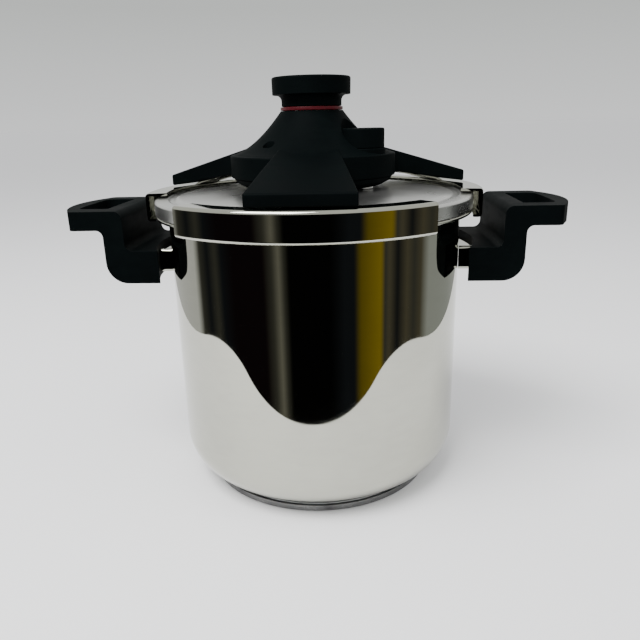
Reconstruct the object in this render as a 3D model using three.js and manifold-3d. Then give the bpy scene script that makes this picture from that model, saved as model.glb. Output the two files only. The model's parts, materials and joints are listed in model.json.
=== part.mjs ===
// Stovetop pressure cooker: a straight-sided pot with a lid that is held by three sliding jaws.
// The knob turns a cam plate, and its three spiral slots draw the jaws in under the pot's rim.
// Millimetres, +Z up. The origin is the centre of the base's flat underside, +X points to the
// right handle and -Y to the front jaw.
import * as THREE from 'three';
import { mergeVertices } from 'three/addons/utils/BufferGeometryUtils.js';
import Module from 'manifold-3d';

const wasm = await Module();
wasm.setup();

// ---- Driving dimensions ----------------------------------------------------------------
const GAP = 0.3; // clearance between pieces that touch
const POST_FIT = 0.4; // clearance round the centre post
const OVERCUT = 5; // how far a cutting tool stands out of what it cuts
const RING_SIDES = 48; // facets round the pot, lid and jaws
const HUB_SIDES = 36; // facets round the hub and knob
const SELECTOR_SIDES = 32;
const SHAFT_SIDES = 24;
const SMALL_SIDES = 12; // facets round small turned pieces

// Pot
const POT_RADIUS = 112; // outside of the wall
const POT_HEIGHT = 214.9; // top face of the rim
const POT_WALL = 1.2;
const POT_CORNER = 32; // outside radius between wall and bottom
const RIM_FLANGE = 9; // how far the rim stands out from the wall
const RIM_THICKNESS = 2.5;
const RIM_CHAMFER = 0.8;
const RIM_FILLET = 1; // between the wall and the rim's underside

// Heat-spreading base
const BASE_INSET = 19.4; // pot's wall to the base's edge
const BASE_HEIGHT = 6;
const BASE_CAP_WALL = 1.2;
const BASE_CHAMFER = 1.2;
const BASE_CAP_DROP = 1; // edge of the cap below the pot's bottom

// Lid
const LID_WALL = 1.2;
const LID_SEAM = 0.6; // open seam between the lid's edge and the pot's rim
const LID_FLANGE_RISE = 10.1; // height of the lid's edge
const LID_CROWN_RISE = 4.7; // crown above the edge
const LID_FLAT_MARGIN = 9; // flat middle beyond the tray's foot
const LID_SKIRT_DEPTH = 8; // skirt inside the pot
const LID_SKIRT_PLAY = 0.5; // skirt to the pot's wall
const LID_GROOVE_WIDTH = 8;
const LID_GROOVE_DEPTH = 0.9;
const LID_EDGE_CHAMFER = 1.6;
const SEAL_LIP = 2.5; // width of each of the seal's two lips
const SEAL_LIP_HEIGHT = 2.7;

// Jaws
const JAW_WALL = 2;
const JAW_CLEARANCE = 0.4; // open jaw's lip to the rim
const JAW_TRAVEL = 4.6; // radial travel from open to locked
const JAW_HALF_ANGLE = THREE.MathUtils.degToRad(41.7);
const JAW_TOP_PLAY = 1.7;
const JAW_BOTTOM_PLAY = 1.9;
const JAW_TOP_WIDTH = 16; // radial width of the top flange
const TONGUE_WIDTH = 24;
const TONGUE_LAP = 1.5; // how far the tongue's foot lies on the top flange
const TONGUE_PIN_MARGIN = 8; // tongue's inner end to the pin's middle
const RAIL_WIDTH = 2;
const RAIL_LENGTH = 14;
const RAIL_PLAY = 0.4; // rail to the tongue's side

// Locking mechanism, from the axis outwards
const POST_RADIUS = 5;
const POST_FLANGE_RADIUS = 14;
const POST_FLANGE_THICKNESS = 1.5;
const POST_NUT_HEIGHT = 6;
const POST_NUT_WALL = 1.5; // nut's flats to the post
const WASHER_THICKNESS = 1;
const SHAFT_ROOM = 3.2; // post to the shaft's bore, wide enough for the post's nut
const SHAFT_WALL = 4.8;
const SHAFT_HEX_WALL = 3; // hexagon's flats to the post
const SHAFT_SHELF_RISE = 5.6; // washer's seat in the shaft above the disc
const PIN_RADIUS = 3;
const PIN_MARGIN = 4.4; // locked pin to the shaft
const CAM_RIM = 4; // pin to the cam plate's edge
const CAM_THICKNESS = 2.5;
const CAM_SLOT_PLAY = 0.4;
const CAM_SLOT_OVERRUN = 0.16; // slot beyond each end of the turn, in radians
const KNOB_TURN = Math.PI / 2; // turn from open to locked

// Valve selector, pressure indicator and safety valve
const VALVE_MARGIN = 3.5; // cam plate to the valve's cup
const VALVE_ANGLE = THREE.MathUtils.degToRad(-30);
const VALVE_THREAD = 5;
const VALVE_CUP_RADIUS = 8.5;
const VALVE_CUP_BORE = 6.3;
const VALVE_PORT = 2.2;
const SELECTOR_RADIUS = 15.4;
const SELECTOR_HEIGHT = 13.6;
const SELECTOR_COLLAR = 4;
const SELECTOR_WALL = 2.5;
const SELECTOR_STEM = 5.5;
const INDICATOR_MARGIN = 8.4; // cam plate to the indicator's body
const INDICATOR_ANGLE = THREE.MathUtils.degToRad(-130);
const INDICATOR_TRAVEL = 3.5;
const INDICATOR_THREAD = 3.6;
const INDICATOR_BODY_RADIUS = 4.6;
const INDICATOR_PIN_RADIUS = 2.5;
const INDICATOR_PIN_HEAD = 3.4;
const SAFETY_SHIFT = 3.3; // towards the hub, from midway between hub and pot wall
const SAFETY_ANGLE = THREE.MathUtils.degToRad(90);
const SAFETY_THREAD = 6;
const SAFETY_HEAD_RADIUS = 9;
const SAFETY_BORE = 4;

// Hub
const HUB_MARGIN = 3.2; // selector to the hub's edge
const HUB_WALL = 3;
const DISC_HEIGHT = 16;
const DISC_CHAMFER = 1;
const TOWER_RISE = 30.7;
const TOWER_WALL = 10.3; // shaft to the tower's top edge
const BEARING_PLAY = 0.6; // shaft to the hole in the tower's top
const BUSH_WALL = 2.5; // shaft to the bush's outside
const BUSH_HEIGHT = 7;
const BUSH_DROP = 2; // bush below the tower's top
const TRAY_HEIGHT = 8.4;
const TRAY_FOOT_INSET = 17.6; // tray's foot to the hub's edge
const ARM_END_HEIGHT = 8.5;
const ARM_END_INSET = 9.5; // arm's end to the jaw's outside
const ARM_JAW_GAP = 0.7; // arm's end above the jaw
const ARM_ROOT_HALF_WIDTH = 18; // half width where the arm leaves the tower
const ARM_ROOT_RADIUS = 27;
const ARM_END_HALF_WIDTH = 35;
const GUIDE_THICKNESS = 1.7;
const GUIDE_INSET = 6.6; // guide plate to the hub's edge
const HUB_SCREW_INSET = 9.6; // hub's edge to the screws
const HUB_SCREW_OFFSET = THREE.MathUtils.degToRad(28); // turned from each jaw's direction
const HUB_SCREW_RADIUS = 1.5;
const SCREW_PILLAR_RADIUS = 4;

// Knob
const RING_THICKNESS = 2.5;
const KNOB_NECK_STEP = 0.9; // tower's top edge to the neck
const KNOB_FLARE = 6.9; // neck to the cap's edge
const KNOB_HEIGHT = 20.5;
const KNOB_WEB = 3;
const KNOB_WEB_DROP = 10.7; // knob's top to the web's underside
const KNOB_RIM = 4; // width of the ring round the insert
const KNOB_CAP_THICKNESS = 2.5;
const KNOB_SCREW_RADIUS = 1.2;
const KNOB_SCREW_LENGTH = 12;

// Side handles
const HANDLE_TOP_RISE = 4.4; // top of the grip above the pot's rim
const HANDLE_HALF_WIDTH = 46;
const GRIP_THICKNESS = 14;
const GRIP_REACH = 79; // outermost point of the grip from the pot's wall
const GRIP_CORNER_REACH = 66; // the same at the grip's two corners
const WEB_THICKNESS = 15.5; // upright part between grip and foot
const WEB_OFFSET = 26; // inner face of the web from the pot's wall
const FOOT_HEIGHT = 24.5;
const FOOT_GAP = 10.5; // foot to the pot's wall
const HANDLE_DROP = 29.5; // grip's top down to the foot's top
const FINGER_HALF_WIDTH = 30;
const FINGER_INNER_REACH = 42;
const FINGER_OUTER_REACH = 64.5;
const FINGER_CORNER = 7;
const BRACKET_HALF_WIDTH = 19;
const BRACKET_HEIGHT = 18;
const BRACKET_DROP = 4; // foot's top to the bracket's top
const BRACKET_REACH = 22;
const BRACKET_WALL = 2;
const HANDLE_SCREW_RADIUS = 2.5;
const HANDLE_SCREW_HEAD = 5;
const HANDLE_SCREW_SINK = 3; // head's seat below the web's outer face
const HANDLE_NUT_HEIGHT = 4;

// ---- Levels worked out from the driving dimensions, in the lid's own frame ----------------
// The lid's frame has its origin on the pot's rim.
const rimRadius = POT_RADIUS + RIM_FLANGE;
const baseRadius = POT_RADIUS - BASE_INSET;
const skirtOuter = POT_RADIUS - POT_WALL - LID_SKIRT_PLAY;
const sealChannel = rimRadius - LID_WALL;
const lidEdgeTop = LID_SEAM + LID_FLANGE_RISE;
const crown = lidEdgeTop + LID_CROWN_RISE;
const lidUnderside = crown - LID_WALL;
const channelTop = lidEdgeTop - LID_WALL - 1;
const jawTop = lidEdgeTop + JAW_TOP_PLAY + JAW_WALL;
const jawBottom = -(RIM_THICKNESS + JAW_BOTTOM_PLAY + JAW_WALL);
const jawLipRadius = rimRadius + JAW_CLEARANCE;
const jawInnerRadius = jawLipRadius + JAW_TRAVEL;
const jawOuterRadius = jawInnerRadius + JAW_WALL;
const trayBottom = crown + GAP;
const trayTop = trayBottom + TRAY_HEIGHT;
const guideBottom = trayTop + GAP;
const guideTop = guideBottom + GUIDE_THICKNESS;
const tongueBottom = guideTop + GAP;
const tongueTop = tongueBottom + JAW_WALL;
const camBottom = tongueTop + GAP;
const camTop = camBottom + CAM_THICKNESS;
const coverBottom = trayTop + GAP;
const discTop = coverBottom + DISC_HEIGHT;
const discInnerTop = discTop - HUB_WALL;
const towerTop = discTop + TOWER_RISE;
const ringBottom = towerTop + GAP;
const knobBottom = ringBottom + RING_THICKNESS + GAP;
const knobTop = knobBottom + KNOB_HEIGHT;
const knobCapBottom = knobTop - KNOB_CAP_THICKNESS;
const knobWebBottom = knobTop - KNOB_WEB_DROP;
const knobWebTop = knobWebBottom + KNOB_WEB;
const shaftTop = knobWebBottom - GAP;
const armEndRadius = jawOuterRadius - ARM_END_INSET;
const armEndBottom = jawTop + ARM_JAW_GAP;
const armEndTop = armEndBottom + ARM_END_HEIGHT;
const selectorBottom = discTop + SELECTOR_COLLAR + GAP;
const shaftShelf = discTop + SHAFT_SHELF_RISE;
const washerTop = shaftShelf + GAP + WASHER_THICKNESS;
const postNutTop = washerTop + GAP + POST_NUT_HEIGHT;
const postTop = postNutTop + 1.5;
const valveSeat = crown + 4.6;
const valveCupTop = discInnerTop - 5.4;
const indicatorFoot = lidUnderside - 4.7;
const pinSealTop = indicatorFoot - INDICATOR_TRAVEL - GAP;
const safetyFoot = lidUnderside - 8.2;
const safetyTop = crown + 1.9;

// ---- Radii worked out from the axis outwards, so that each piece leaves room for the next ----
const shaftBore = POST_RADIUS + SHAFT_ROOM;
const shaftRadius = shaftBore + SHAFT_WALL;
const shaftHex = 2 * (POST_RADIUS + SHAFT_HEX_WALL);
const pinPlace = shaftRadius + PIN_MARGIN + PIN_RADIUS + JAW_TRAVEL; // with the jaws open
const camRadius = pinPlace + PIN_RADIUS + CAM_RIM;
const valvePlace = camRadius + VALVE_MARGIN + VALVE_CUP_RADIUS;
const indicatorPlace = camRadius + INDICATOR_MARGIN + INDICATOR_BODY_RADIUS;
const hubRadius = valvePlace + SELECTOR_RADIUS + HUB_MARGIN;
const hubScrewPlace = hubRadius - HUB_SCREW_INSET;
const trayFootRadius = hubRadius - TRAY_FOOT_INSET;
const lidFlatRadius = trayFootRadius + LID_FLAT_MARGIN;
const safetyPlace = (hubRadius + POT_RADIUS) / 2 - SAFETY_SHIFT;
const towerTopRadius = shaftRadius + TOWER_WALL;
const knobNeckRadius = towerTopRadius - KNOB_NECK_STEP;
const knobCapRadius = knobNeckRadius + KNOB_FLARE;
const knobRecess = knobCapRadius - KNOB_RIM;
const knobScrewPlace = (shaftBore + shaftRadius) / 2;

const JAW_DIRECTIONS = { front: -Math.PI / 2, right: Math.PI / 6, left: (5 * Math.PI) / 6 };
const hubScrewDirections = Object.values(JAW_DIRECTIONS).map(angle => angle + HUB_SCREW_OFFSET);

// ---- Materials -----------------------------------------------------------------------------
function material(color, roughness, metalness) {
  return () => new THREE.MeshStandardMaterial({ color, roughness, metalness });
}
const polishedSteel = material(0xd9dadb, 0.08, 1);
const brushedSteel = material(0xb4b6b8, 0.35, 1);
const darkSteel = material(0x55575a, 0.4, 1);
const aluminium = material(0x9c9ea0, 0.5, 1);
const blackPlastic = material(0x101516, 0.5, 0);
const redPlastic = material(0x5a0d16, 0.4, 0);
const silicone = material(0xcfd2d1, 0.6, 0);
const nylon = material(0xe6e1d3, 0.5, 0);

// ---- Geometry helpers -----------------------------------------------------------------------
// Gives a geometry shared vertices, no empty triangles and faces that point out.
function closed(geometry) {
  const bare = geometry.clone();
  for (const name of Object.keys(bare.attributes)) {
    if (name !== 'position') bare.deleteAttribute(name);
  }
  const merged = mergeVertices(bare, 1e-4);
  const corners = merged.index.array;
  const kept = [];
  for (let i = 0; i < corners.length; i += 3) {
    const [a, b, c] = [corners[i], corners[i + 1], corners[i + 2]];
    if (a !== b && b !== c && c !== a) kept.push(a, b, c);
  }
  merged.setIndex(kept);
  if (signedVolume(merged) < 0) {
    merged.setIndex(kept.reverse());
  }
  return merged;
}

function signedVolume(geometry) {
  const place = geometry.attributes.position;
  const corners = geometry.index.array;
  const [a, b, c] = [new THREE.Vector3(), new THREE.Vector3(), new THREE.Vector3()];
  let volume = 0;
  for (let i = 0; i < corners.length; i += 3) {
    a.fromBufferAttribute(place, corners[i]);
    b.fromBufferAttribute(place, corners[i + 1]);
    c.fromBufferAttribute(place, corners[i + 2]);
    volume += a.dot(b.cross(c));
  }
  return volume;
}

function solid(geometry) {
  const shape = closed(geometry);
  return new wasm.Manifold(new wasm.Mesh({
    numProp: 3,
    vertProperties: new Float32Array(shape.attributes.position.array),
    triVerts: new Uint32Array(shape.index.array),
  }));
}

function geometryOf(body) {
  const mesh = body.getMesh();
  const geometry = new THREE.BufferGeometry();
  geometry.setAttribute('position', new THREE.BufferAttribute(new Float32Array(mesh.vertProperties), 3));
  geometry.setIndex([...mesh.triVerts]);
  return geometry;
}

function join(...bodies) {
  return bodies.reduce((sum, body) => sum.add(body));
}

function cut(body, ...tools) {
  return tools.reduce((rest, tool) => rest.subtract(tool), body);
}

// A turned shape about Z from [radius, height] points. They start and end on the axis, or the
// outline is closed by joining its end to its start.
function turned(profile, sides = SMALL_SIDES) {
  const points = profile.map(([radius, height]) => new THREE.Vector2(radius, height));
  const onAxis = profile[0][0] === 0 && profile.at(-1)[0] === 0;
  if (!onAxis) points.push(points[0].clone());
  return new THREE.LatheGeometry(points, sides).rotateX(Math.PI / 2);
}

function rod(radius, bottom, top, sides = SMALL_SIDES) {
  return turned([[0, bottom], [radius, bottom], [radius, top], [0, top]], sides);
}

function tube(inner, outer, bottom, top, sides = SMALL_SIDES) {
  return turned([[inner, bottom], [outer, bottom], [outer, top], [inner, top]], sides);
}

// An outline from [x, y, corner radius] points; each radius rounds its corner.
function outline(corners) {
  const shape = new THREE.Shape();
  corners.forEach(([x, y, radius = 0], i) => {
    const here = new THREE.Vector2(x, y);
    const before = new THREE.Vector2(...corners.at(i - 1).slice(0, 2));
    const after = new THREE.Vector2(...corners[(i + 1) % corners.length].slice(0, 2));
    const start = here.clone().add(before.sub(here).setLength(radius));
    const end = here.clone().add(after.sub(here).setLength(radius));
    if (i === 0) shape.moveTo(start.x, start.y);
    else shape.lineTo(start.x, start.y);
    if (radius > 0) shape.quadraticCurveTo(x, y, end.x, end.y);
  });
  shape.closePath();
  return shape;
}

// A plan outline pulled up from one level to another.
function prism(shape, bottom, top, curveSegments = 4) {
  const options = { depth: top - bottom, bevelEnabled: false, curveSegments };
  return new THREE.ExtrudeGeometry(shape, options).translate(0, 0, bottom);
}

// A side outline in X and Z, pulled both ways along Y.
function slab(shape, halfWidth, curveSegments = 4) {
  const options = { depth: 2 * halfWidth, bevelEnabled: false, curveSegments };
  return new THREE.ExtrudeGeometry(shape, options).rotateX(Math.PI / 2).translate(0, halfWidth, 0);
}

function hexOutline(acrossFlats) {
  const corner = acrossFlats / 2 / Math.cos(Math.PI / 6);
  const shape = new THREE.Shape();
  for (let i = 0; i < 6; i += 1) {
    const angle = (i * Math.PI) / 3;
    if (i === 0) shape.moveTo(corner, 0);
    else shape.lineTo(corner * Math.cos(angle), corner * Math.sin(angle));
  }
  shape.closePath();
  return shape;
}

function hexNut(acrossFlats, bore, bottom, top) {
  return cut(solid(prism(hexOutline(acrossFlats), bottom, top)), solid(rod(bore, bottom - 1, top + 1)));
}

// A coil spring about Z with its ends at the two levels given.
function coil(radius, wireRadius, bottom, top, turns) {
  const low = bottom + wireRadius;
  const rise = top - bottom - 2 * wireRadius;
  class Helix extends THREE.Curve {
    getPoint(t, target = new THREE.Vector3()) {
      const angle = t * turns * 2 * Math.PI;
      return target.set(radius * Math.cos(angle), radius * Math.sin(angle), low + rise * t);
    }
  }
  const wire = new THREE.Shape().absarc(0, 0, wireRadius, 0, 2 * Math.PI);
  const options = { steps: turns * 8, extrudePath: new Helix(), curveSegments: 3 };
  return new THREE.ExtrudeGeometry(wire, options);
}

function arcPoints(centreR, centreZ, radius, startDegrees, endDegrees, steps) {
  return Array.from({ length: steps + 1 }, (_, i) => {
    const angle = THREE.MathUtils.degToRad(startDegrees + ((endDegrees - startDegrees) * i) / steps);
    return [centreR + radius * Math.cos(angle), centreZ + radius * Math.sin(angle)];
  });
}

function at(geometry, place, angle) {
  return geometry.translate(place * Math.cos(angle), place * Math.sin(angle), 0);
}

// ---- The scene graph ---------------------------------------------------------------------
const cooker = new THREE.Group();
const lid = new THREE.Group();
lid.position.z = POT_HEIGHT;
cooker.add(lid);

function place(name, shape, finish, parent) {
  const geometry = shape.isBufferGeometry ? closed(shape) : geometryOf(shape);
  const mesh = new THREE.Mesh(geometry, finish());
  mesh.name = name;
  parent.add(mesh);
  return mesh;
}

// A group on the lid whose origin stands at a distance and direction from the axis.
function station(distance, angle) {
  const group = new THREE.Group();
  group.position.set(distance * Math.cos(angle), distance * Math.sin(angle), 0);
  lid.add(group);
  return group;
}

// ---- Pot and base ----------------------------------------------------------------------
function potBody() {
  const bottom = BASE_HEIGHT;
  const innerRadius = POT_RADIUS - POT_WALL;
  const innerCorner = POT_CORNER - POT_WALL;
  const cornerR = POT_RADIUS - POT_CORNER;
  const cornerZ = bottom + POT_CORNER;
  return turned([
    [0, bottom],
    ...arcPoints(cornerR, cornerZ, POT_CORNER, -90, 0, 5),
    [POT_RADIUS, POT_HEIGHT - RIM_THICKNESS - RIM_FILLET],
    [POT_RADIUS + RIM_FILLET, POT_HEIGHT - RIM_THICKNESS],
    [rimRadius - RIM_CHAMFER, POT_HEIGHT - RIM_THICKNESS],
    [rimRadius, POT_HEIGHT - RIM_THICKNESS + RIM_CHAMFER],
    [rimRadius, POT_HEIGHT - RIM_CHAMFER],
    [rimRadius - RIM_CHAMFER, POT_HEIGHT],
    [POT_RADIUS, POT_HEIGHT],
    [innerRadius, POT_HEIGHT - 1.5],
    ...arcPoints(cornerR, cornerZ, innerCorner, 0, -90, 5),
    [0, bottom + POT_WALL],
  ], RING_SIDES);
}

function baseCap() {
  return turned([
    [0, 0],
    [baseRadius - BASE_CHAMFER, 0],
    [baseRadius, BASE_CHAMFER],
    [baseRadius, BASE_HEIGHT - BASE_CAP_DROP],
    [baseRadius - BASE_CAP_WALL, BASE_HEIGHT - BASE_CAP_DROP],
    [baseRadius - BASE_CAP_WALL, BASE_CAP_WALL],
    [0, BASE_CAP_WALL],
  ], RING_SIDES);
}

function baseCore() {
  return rod(baseRadius - BASE_CAP_WALL - GAP, BASE_CAP_WALL + GAP, BASE_HEIGHT - GAP, RING_SIDES);
}

place('pot_body', potBody(), polishedSteel, cooker);
place('base_cap', baseCap(), darkSteel, cooker);
place('base_core', baseCore(), aluminium, cooker);

// ---- Side handles -------------------------------------------------------------------------
// A handle stands on +X of its own group, whose origin is the pot's axis at the rim.
const footTop = HANDLE_TOP_RISE - HANDLE_DROP;
const footBottom = footTop - FOOT_HEIGHT;
const bracketTop = footTop - BRACKET_DROP;
const bracketBottom = bracketTop - BRACKET_HEIGHT;
const bracketMiddle = (bracketTop + bracketBottom) / 2;
const webInner = POT_RADIUS + WEB_OFFSET;
const webOuter = webInner + WEB_THICKNESS;
const bracketEnd = POT_RADIUS + BRACKET_REACH;
const screwHole = HANDLE_SCREW_RADIUS + GAP;

// Rods along X, for the handle screws and their holes.
function crossRod(radius, from, to, sides = SMALL_SIDES) {
  return rod(radius, from, to, sides).rotateY(Math.PI / 2).translate(0, 0, bracketMiddle);
}

function gripPlan() {
  const corner = POT_RADIUS + GRIP_CORNER_REACH;
  const tip = POT_RADIUS + GRIP_REACH;
  const shape = new THREE.Shape();
  shape.moveTo(POT_RADIUS / 2, -HANDLE_HALF_WIDTH);
  shape.lineTo(corner - 8, -HANDLE_HALF_WIDTH);
  shape.quadraticCurveTo(corner, -HANDLE_HALF_WIDTH, corner + 2, -HANDLE_HALF_WIDTH + 9);
  shape.quadraticCurveTo(2 * tip - corner - 2, 0, corner + 2, HANDLE_HALF_WIDTH - 9);
  shape.quadraticCurveTo(corner, HANDLE_HALF_WIDTH, corner - 8, HANDLE_HALF_WIDTH);
  shape.lineTo(POT_RADIUS / 2, HANDLE_HALF_WIDTH);
  shape.closePath();
  return shape;
}

function handleSide() {
  const gripBottom = HANDLE_TOP_RISE - GRIP_THICKNESS;
  const tip = POT_RADIUS + GRIP_REACH + 1;
  return outline([
    [POT_RADIUS / 2, footBottom, 0],
    [webInner - 12, footBottom, 6],
    [webOuter, footBottom + 3, 15],
    [webOuter, gripBottom, 4],
    [tip, gripBottom, 3],
    [tip, HANDLE_TOP_RISE, 3],
    [webInner, HANDLE_TOP_RISE, 6],
    [webInner, footTop, 3],
    [POT_RADIUS / 2, footTop, 0],
  ]);
}

function fingerHole() {
  const inner = POT_RADIUS + FINGER_INNER_REACH;
  const outer = POT_RADIUS + FINGER_OUTER_REACH;
  return prism(outline([
    [inner, -FINGER_HALF_WIDTH, FINGER_CORNER],
    [outer, -FINGER_HALF_WIDTH, FINGER_CORNER],
    [outer, FINGER_HALF_WIDTH, FINGER_CORNER],
    [inner, FINGER_HALF_WIDTH, FINGER_CORNER],
  ]), HANDLE_TOP_RISE - 2 * GRIP_THICKNESS, HANDLE_TOP_RISE + OVERCUT);
}

function bracketBlock(clearance) {
  const bottom = bracketBottom - clearance;
  const top = bracketTop + clearance;
  const end = bracketEnd + clearance;
  const half = BRACKET_HALF_WIDTH + clearance;
  return slab(outline([
    [POT_RADIUS / 2, bottom, 0],
    [end, bottom, 1.5],
    [end, top, 1.5],
    [POT_RADIUS / 2, top, 0],
  ]), half, 2);
}

function potRoom(clearance) {
  const bottom = footBottom - 2 * OVERCUT;
  const top = HANDLE_TOP_RISE + 2 * OVERCUT;
  return solid(rod(POT_RADIUS + clearance, bottom, top, RING_SIDES));
}

function handle() {
  const plan = solid(prism(gripPlan(), footBottom - OVERCUT, HANDLE_TOP_RISE + OVERCUT));
  const side = solid(slab(handleSide(), HANDLE_HALF_WIDTH + OVERCUT));
  return cut(
    plan.intersect(side),
    potRoom(FOOT_GAP),
    solid(fingerHole()),
    solid(bracketBlock(GAP)),
    solid(crossRod(screwHole, bracketEnd - 1, webOuter + 1)),
    solid(crossRod(HANDLE_SCREW_HEAD + GAP, webOuter - HANDLE_SCREW_SINK - GAP, webOuter + 1)),
  );
}

function handleBracket() {
  const inside = solid(slab(outline([
    [POT_RADIUS / 2, bracketBottom + BRACKET_WALL, 0],
    [bracketEnd - BRACKET_WALL, bracketBottom + BRACKET_WALL, 0],
    [bracketEnd - BRACKET_WALL, bracketTop - BRACKET_WALL, 0],
    [POT_RADIUS / 2, bracketTop - BRACKET_WALL, 0],
  ]), BRACKET_HALF_WIDTH - BRACKET_WALL));
  const hole = solid(crossRod(screwHole, bracketEnd - OVERCUT, bracketEnd + OVERCUT));
  return cut(solid(bracketBlock(0)), potRoom(GAP), inside, hole);
}

function handleScrew() {
  const start = bracketEnd - BRACKET_WALL - HANDLE_NUT_HEIGHT - 2;
  const seat = webOuter - HANDLE_SCREW_SINK;
  const screw = turned([
    [0, start],
    [HANDLE_SCREW_RADIUS, start],
    [HANDLE_SCREW_RADIUS, seat],
    [HANDLE_SCREW_HEAD, seat],
    [HANDLE_SCREW_HEAD, webOuter - 0.8],
    [HANDLE_SCREW_HEAD - 1.5, webOuter - 0.2],
    [0, webOuter - 0.2],
  ]);
  return screw.rotateY(Math.PI / 2).translate(0, 0, bracketMiddle);
}

function handleNut() {
  const end = bracketEnd - BRACKET_WALL - GAP;
  const nut = geometryOf(hexNut(8, screwHole, end - HANDLE_NUT_HEIGHT, end));
  return nut.rotateY(Math.PI / 2).translate(0, 0, bracketMiddle);
}

for (const [side, turn] of [['right', 0], ['left', Math.PI]]) {
  const group = new THREE.Group();
  group.position.z = POT_HEIGHT;
  group.rotation.z = turn;
  cooker.add(group);
  place(`handle_${side}`, handle(), blackPlastic, group);
  place(`handle_bracket_${side}`, handleBracket(), polishedSteel, group);
  place(`handle_screw_${side}`, handleScrew(), brushedSteel, group);
  place(`handle_nut_${side}`, handleNut(), brushedSteel, group);
}

// ---- Lid ---------------------------------------------------------------------------------
// The lid's top surface from the flat middle to the groove inside its edge.
function domePoints(drop) {
  const edge = POT_RADIUS - LID_GROOVE_WIDTH;
  const dome = new THREE.QuadraticBezierCurve(
    new THREE.Vector2(lidFlatRadius, crown - drop),
    new THREE.Vector2((lidFlatRadius + edge) / 2 + 5, crown - 0.4 - drop),
    new THREE.Vector2(edge, lidEdgeTop + 0.5 - drop),
  );
  return dome.getPoints(4).map(point => [point.x, point.y]);
}

function lidShell() {
  const shell = solid(turned([
    [0, crown],
    ...domePoints(0),
    [POT_RADIUS - 5, lidEdgeTop - LID_GROOVE_DEPTH],
    [POT_RADIUS - 2, lidEdgeTop - LID_GROOVE_DEPTH],
    [POT_RADIUS, lidEdgeTop],
    [rimRadius - LID_EDGE_CHAMFER, lidEdgeTop],
    [rimRadius - 0.5, lidEdgeTop - 0.5],
    [rimRadius, lidEdgeTop - LID_EDGE_CHAMFER],
    [rimRadius, LID_SEAM],
    [sealChannel, LID_SEAM],
    [sealChannel, channelTop],
    [skirtOuter, channelTop],
    [skirtOuter, -LID_SKIRT_DEPTH],
    [skirtOuter - LID_WALL, -LID_SKIRT_DEPTH],
    [skirtOuter - LID_WALL, channelTop - 0.4],
    ...domePoints(LID_WALL).reverse(),
    [0, lidUnderside],
  ], RING_SIDES));
  return cut(
    shell,
    solid(at(rod(VALVE_THREAD + GAP, 0, crown + OVERCUT), valvePlace, VALVE_ANGLE)),
    solid(at(rod(INDICATOR_THREAD + GAP, 0, crown + OVERCUT), indicatorPlace, INDICATOR_ANGLE)),
    solid(at(rod(SAFETY_THREAD + GAP, 0, crown + OVERCUT), safetyPlace, SAFETY_ANGLE)),
  );
}

// Silicone ring: it lies on the pot's rim inside the lid's edge, with an open lip underneath.
function lidGasket() {
  const inner = POT_RADIUS;
  const outer = sealChannel - GAP;
  const top = channelTop - GAP;
  return turned([
    [inner, GAP],
    [inner + SEAL_LIP, GAP],
    [inner + SEAL_LIP, GAP + SEAL_LIP_HEIGHT],
    [outer - SEAL_LIP, GAP + SEAL_LIP_HEIGHT],
    [outer - SEAL_LIP, GAP],
    [outer, GAP],
    [outer, top],
    [inner, top],
  ], RING_SIDES);
}

function centerPost() {
  return turned([
    [0, trayBottom],
    [POST_FLANGE_RADIUS, trayBottom],
    [POST_FLANGE_RADIUS, trayBottom + POST_FLANGE_THICKNESS],
    [POST_RADIUS, trayBottom + POST_FLANGE_THICKNESS],
    [POST_RADIUS, postTop - 1],
    [POST_RADIUS - 1, postTop],
    [0, postTop],
  ]);
}

function postWasher() {
  return tube(POST_RADIUS + GAP, shaftBore - GAP, shaftShelf + GAP, washerTop);
}

function postNut() {
  return hexNut(2 * (POST_RADIUS + POST_NUT_WALL), POST_RADIUS + GAP, washerTop + GAP, postNutTop);
}

place('lid_shell', lidShell(), polishedSteel, lid);
place('lid_gasket', lidGasket(), silicone, lid);
place('center_post', centerPost(), brushedSteel, lid);
place('post_washer', postWasher(), brushedSteel, lid);
place('post_nut', postNut(), brushedSteel, lid);

// ---- Hub: tray, guide plate and cover ---------------------------------------------------
function hubScrewHoles(radius, bottom, top) {
  return hubScrewDirections.map(angle => solid(at(rod(radius, bottom, top), hubScrewPlace, angle)));
}

function hubBase() {
  const edge = hubRadius - 1.6;
  const plate = trayTop - HUB_WALL;
  const tray = solid(turned([
    [POST_RADIUS + POST_FIT, plate],
    [hubRadius - HUB_WALL - 6, plate],
    [trayFootRadius - HUB_WALL, trayBottom],
    [trayFootRadius, trayBottom],
    [trayFootRadius + 7, trayBottom + 1.8],
    [edge - 3, trayTop - 3.4],
    [edge, trayTop - 0.8],
    [edge - 0.6, trayTop],
    [POST_RADIUS + POST_FIT, trayTop],
  ], HUB_SIDES));
  const top = trayTop + OVERCUT;
  return cut(
    tray,
    solid(at(rod(VALVE_CUP_RADIUS + GAP, 0, top), valvePlace, VALVE_ANGLE)),
    solid(at(rod(INDICATOR_BODY_RADIUS + GAP, 0, top), indicatorPlace, INDICATOR_ANGLE)),
    ...hubScrewHoles(HUB_SCREW_RADIUS + GAP, 0, top),
    ...hubScrewHoles(2 * HUB_SCREW_RADIUS + POST_FIT, 0, plate),
  );
}

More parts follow.
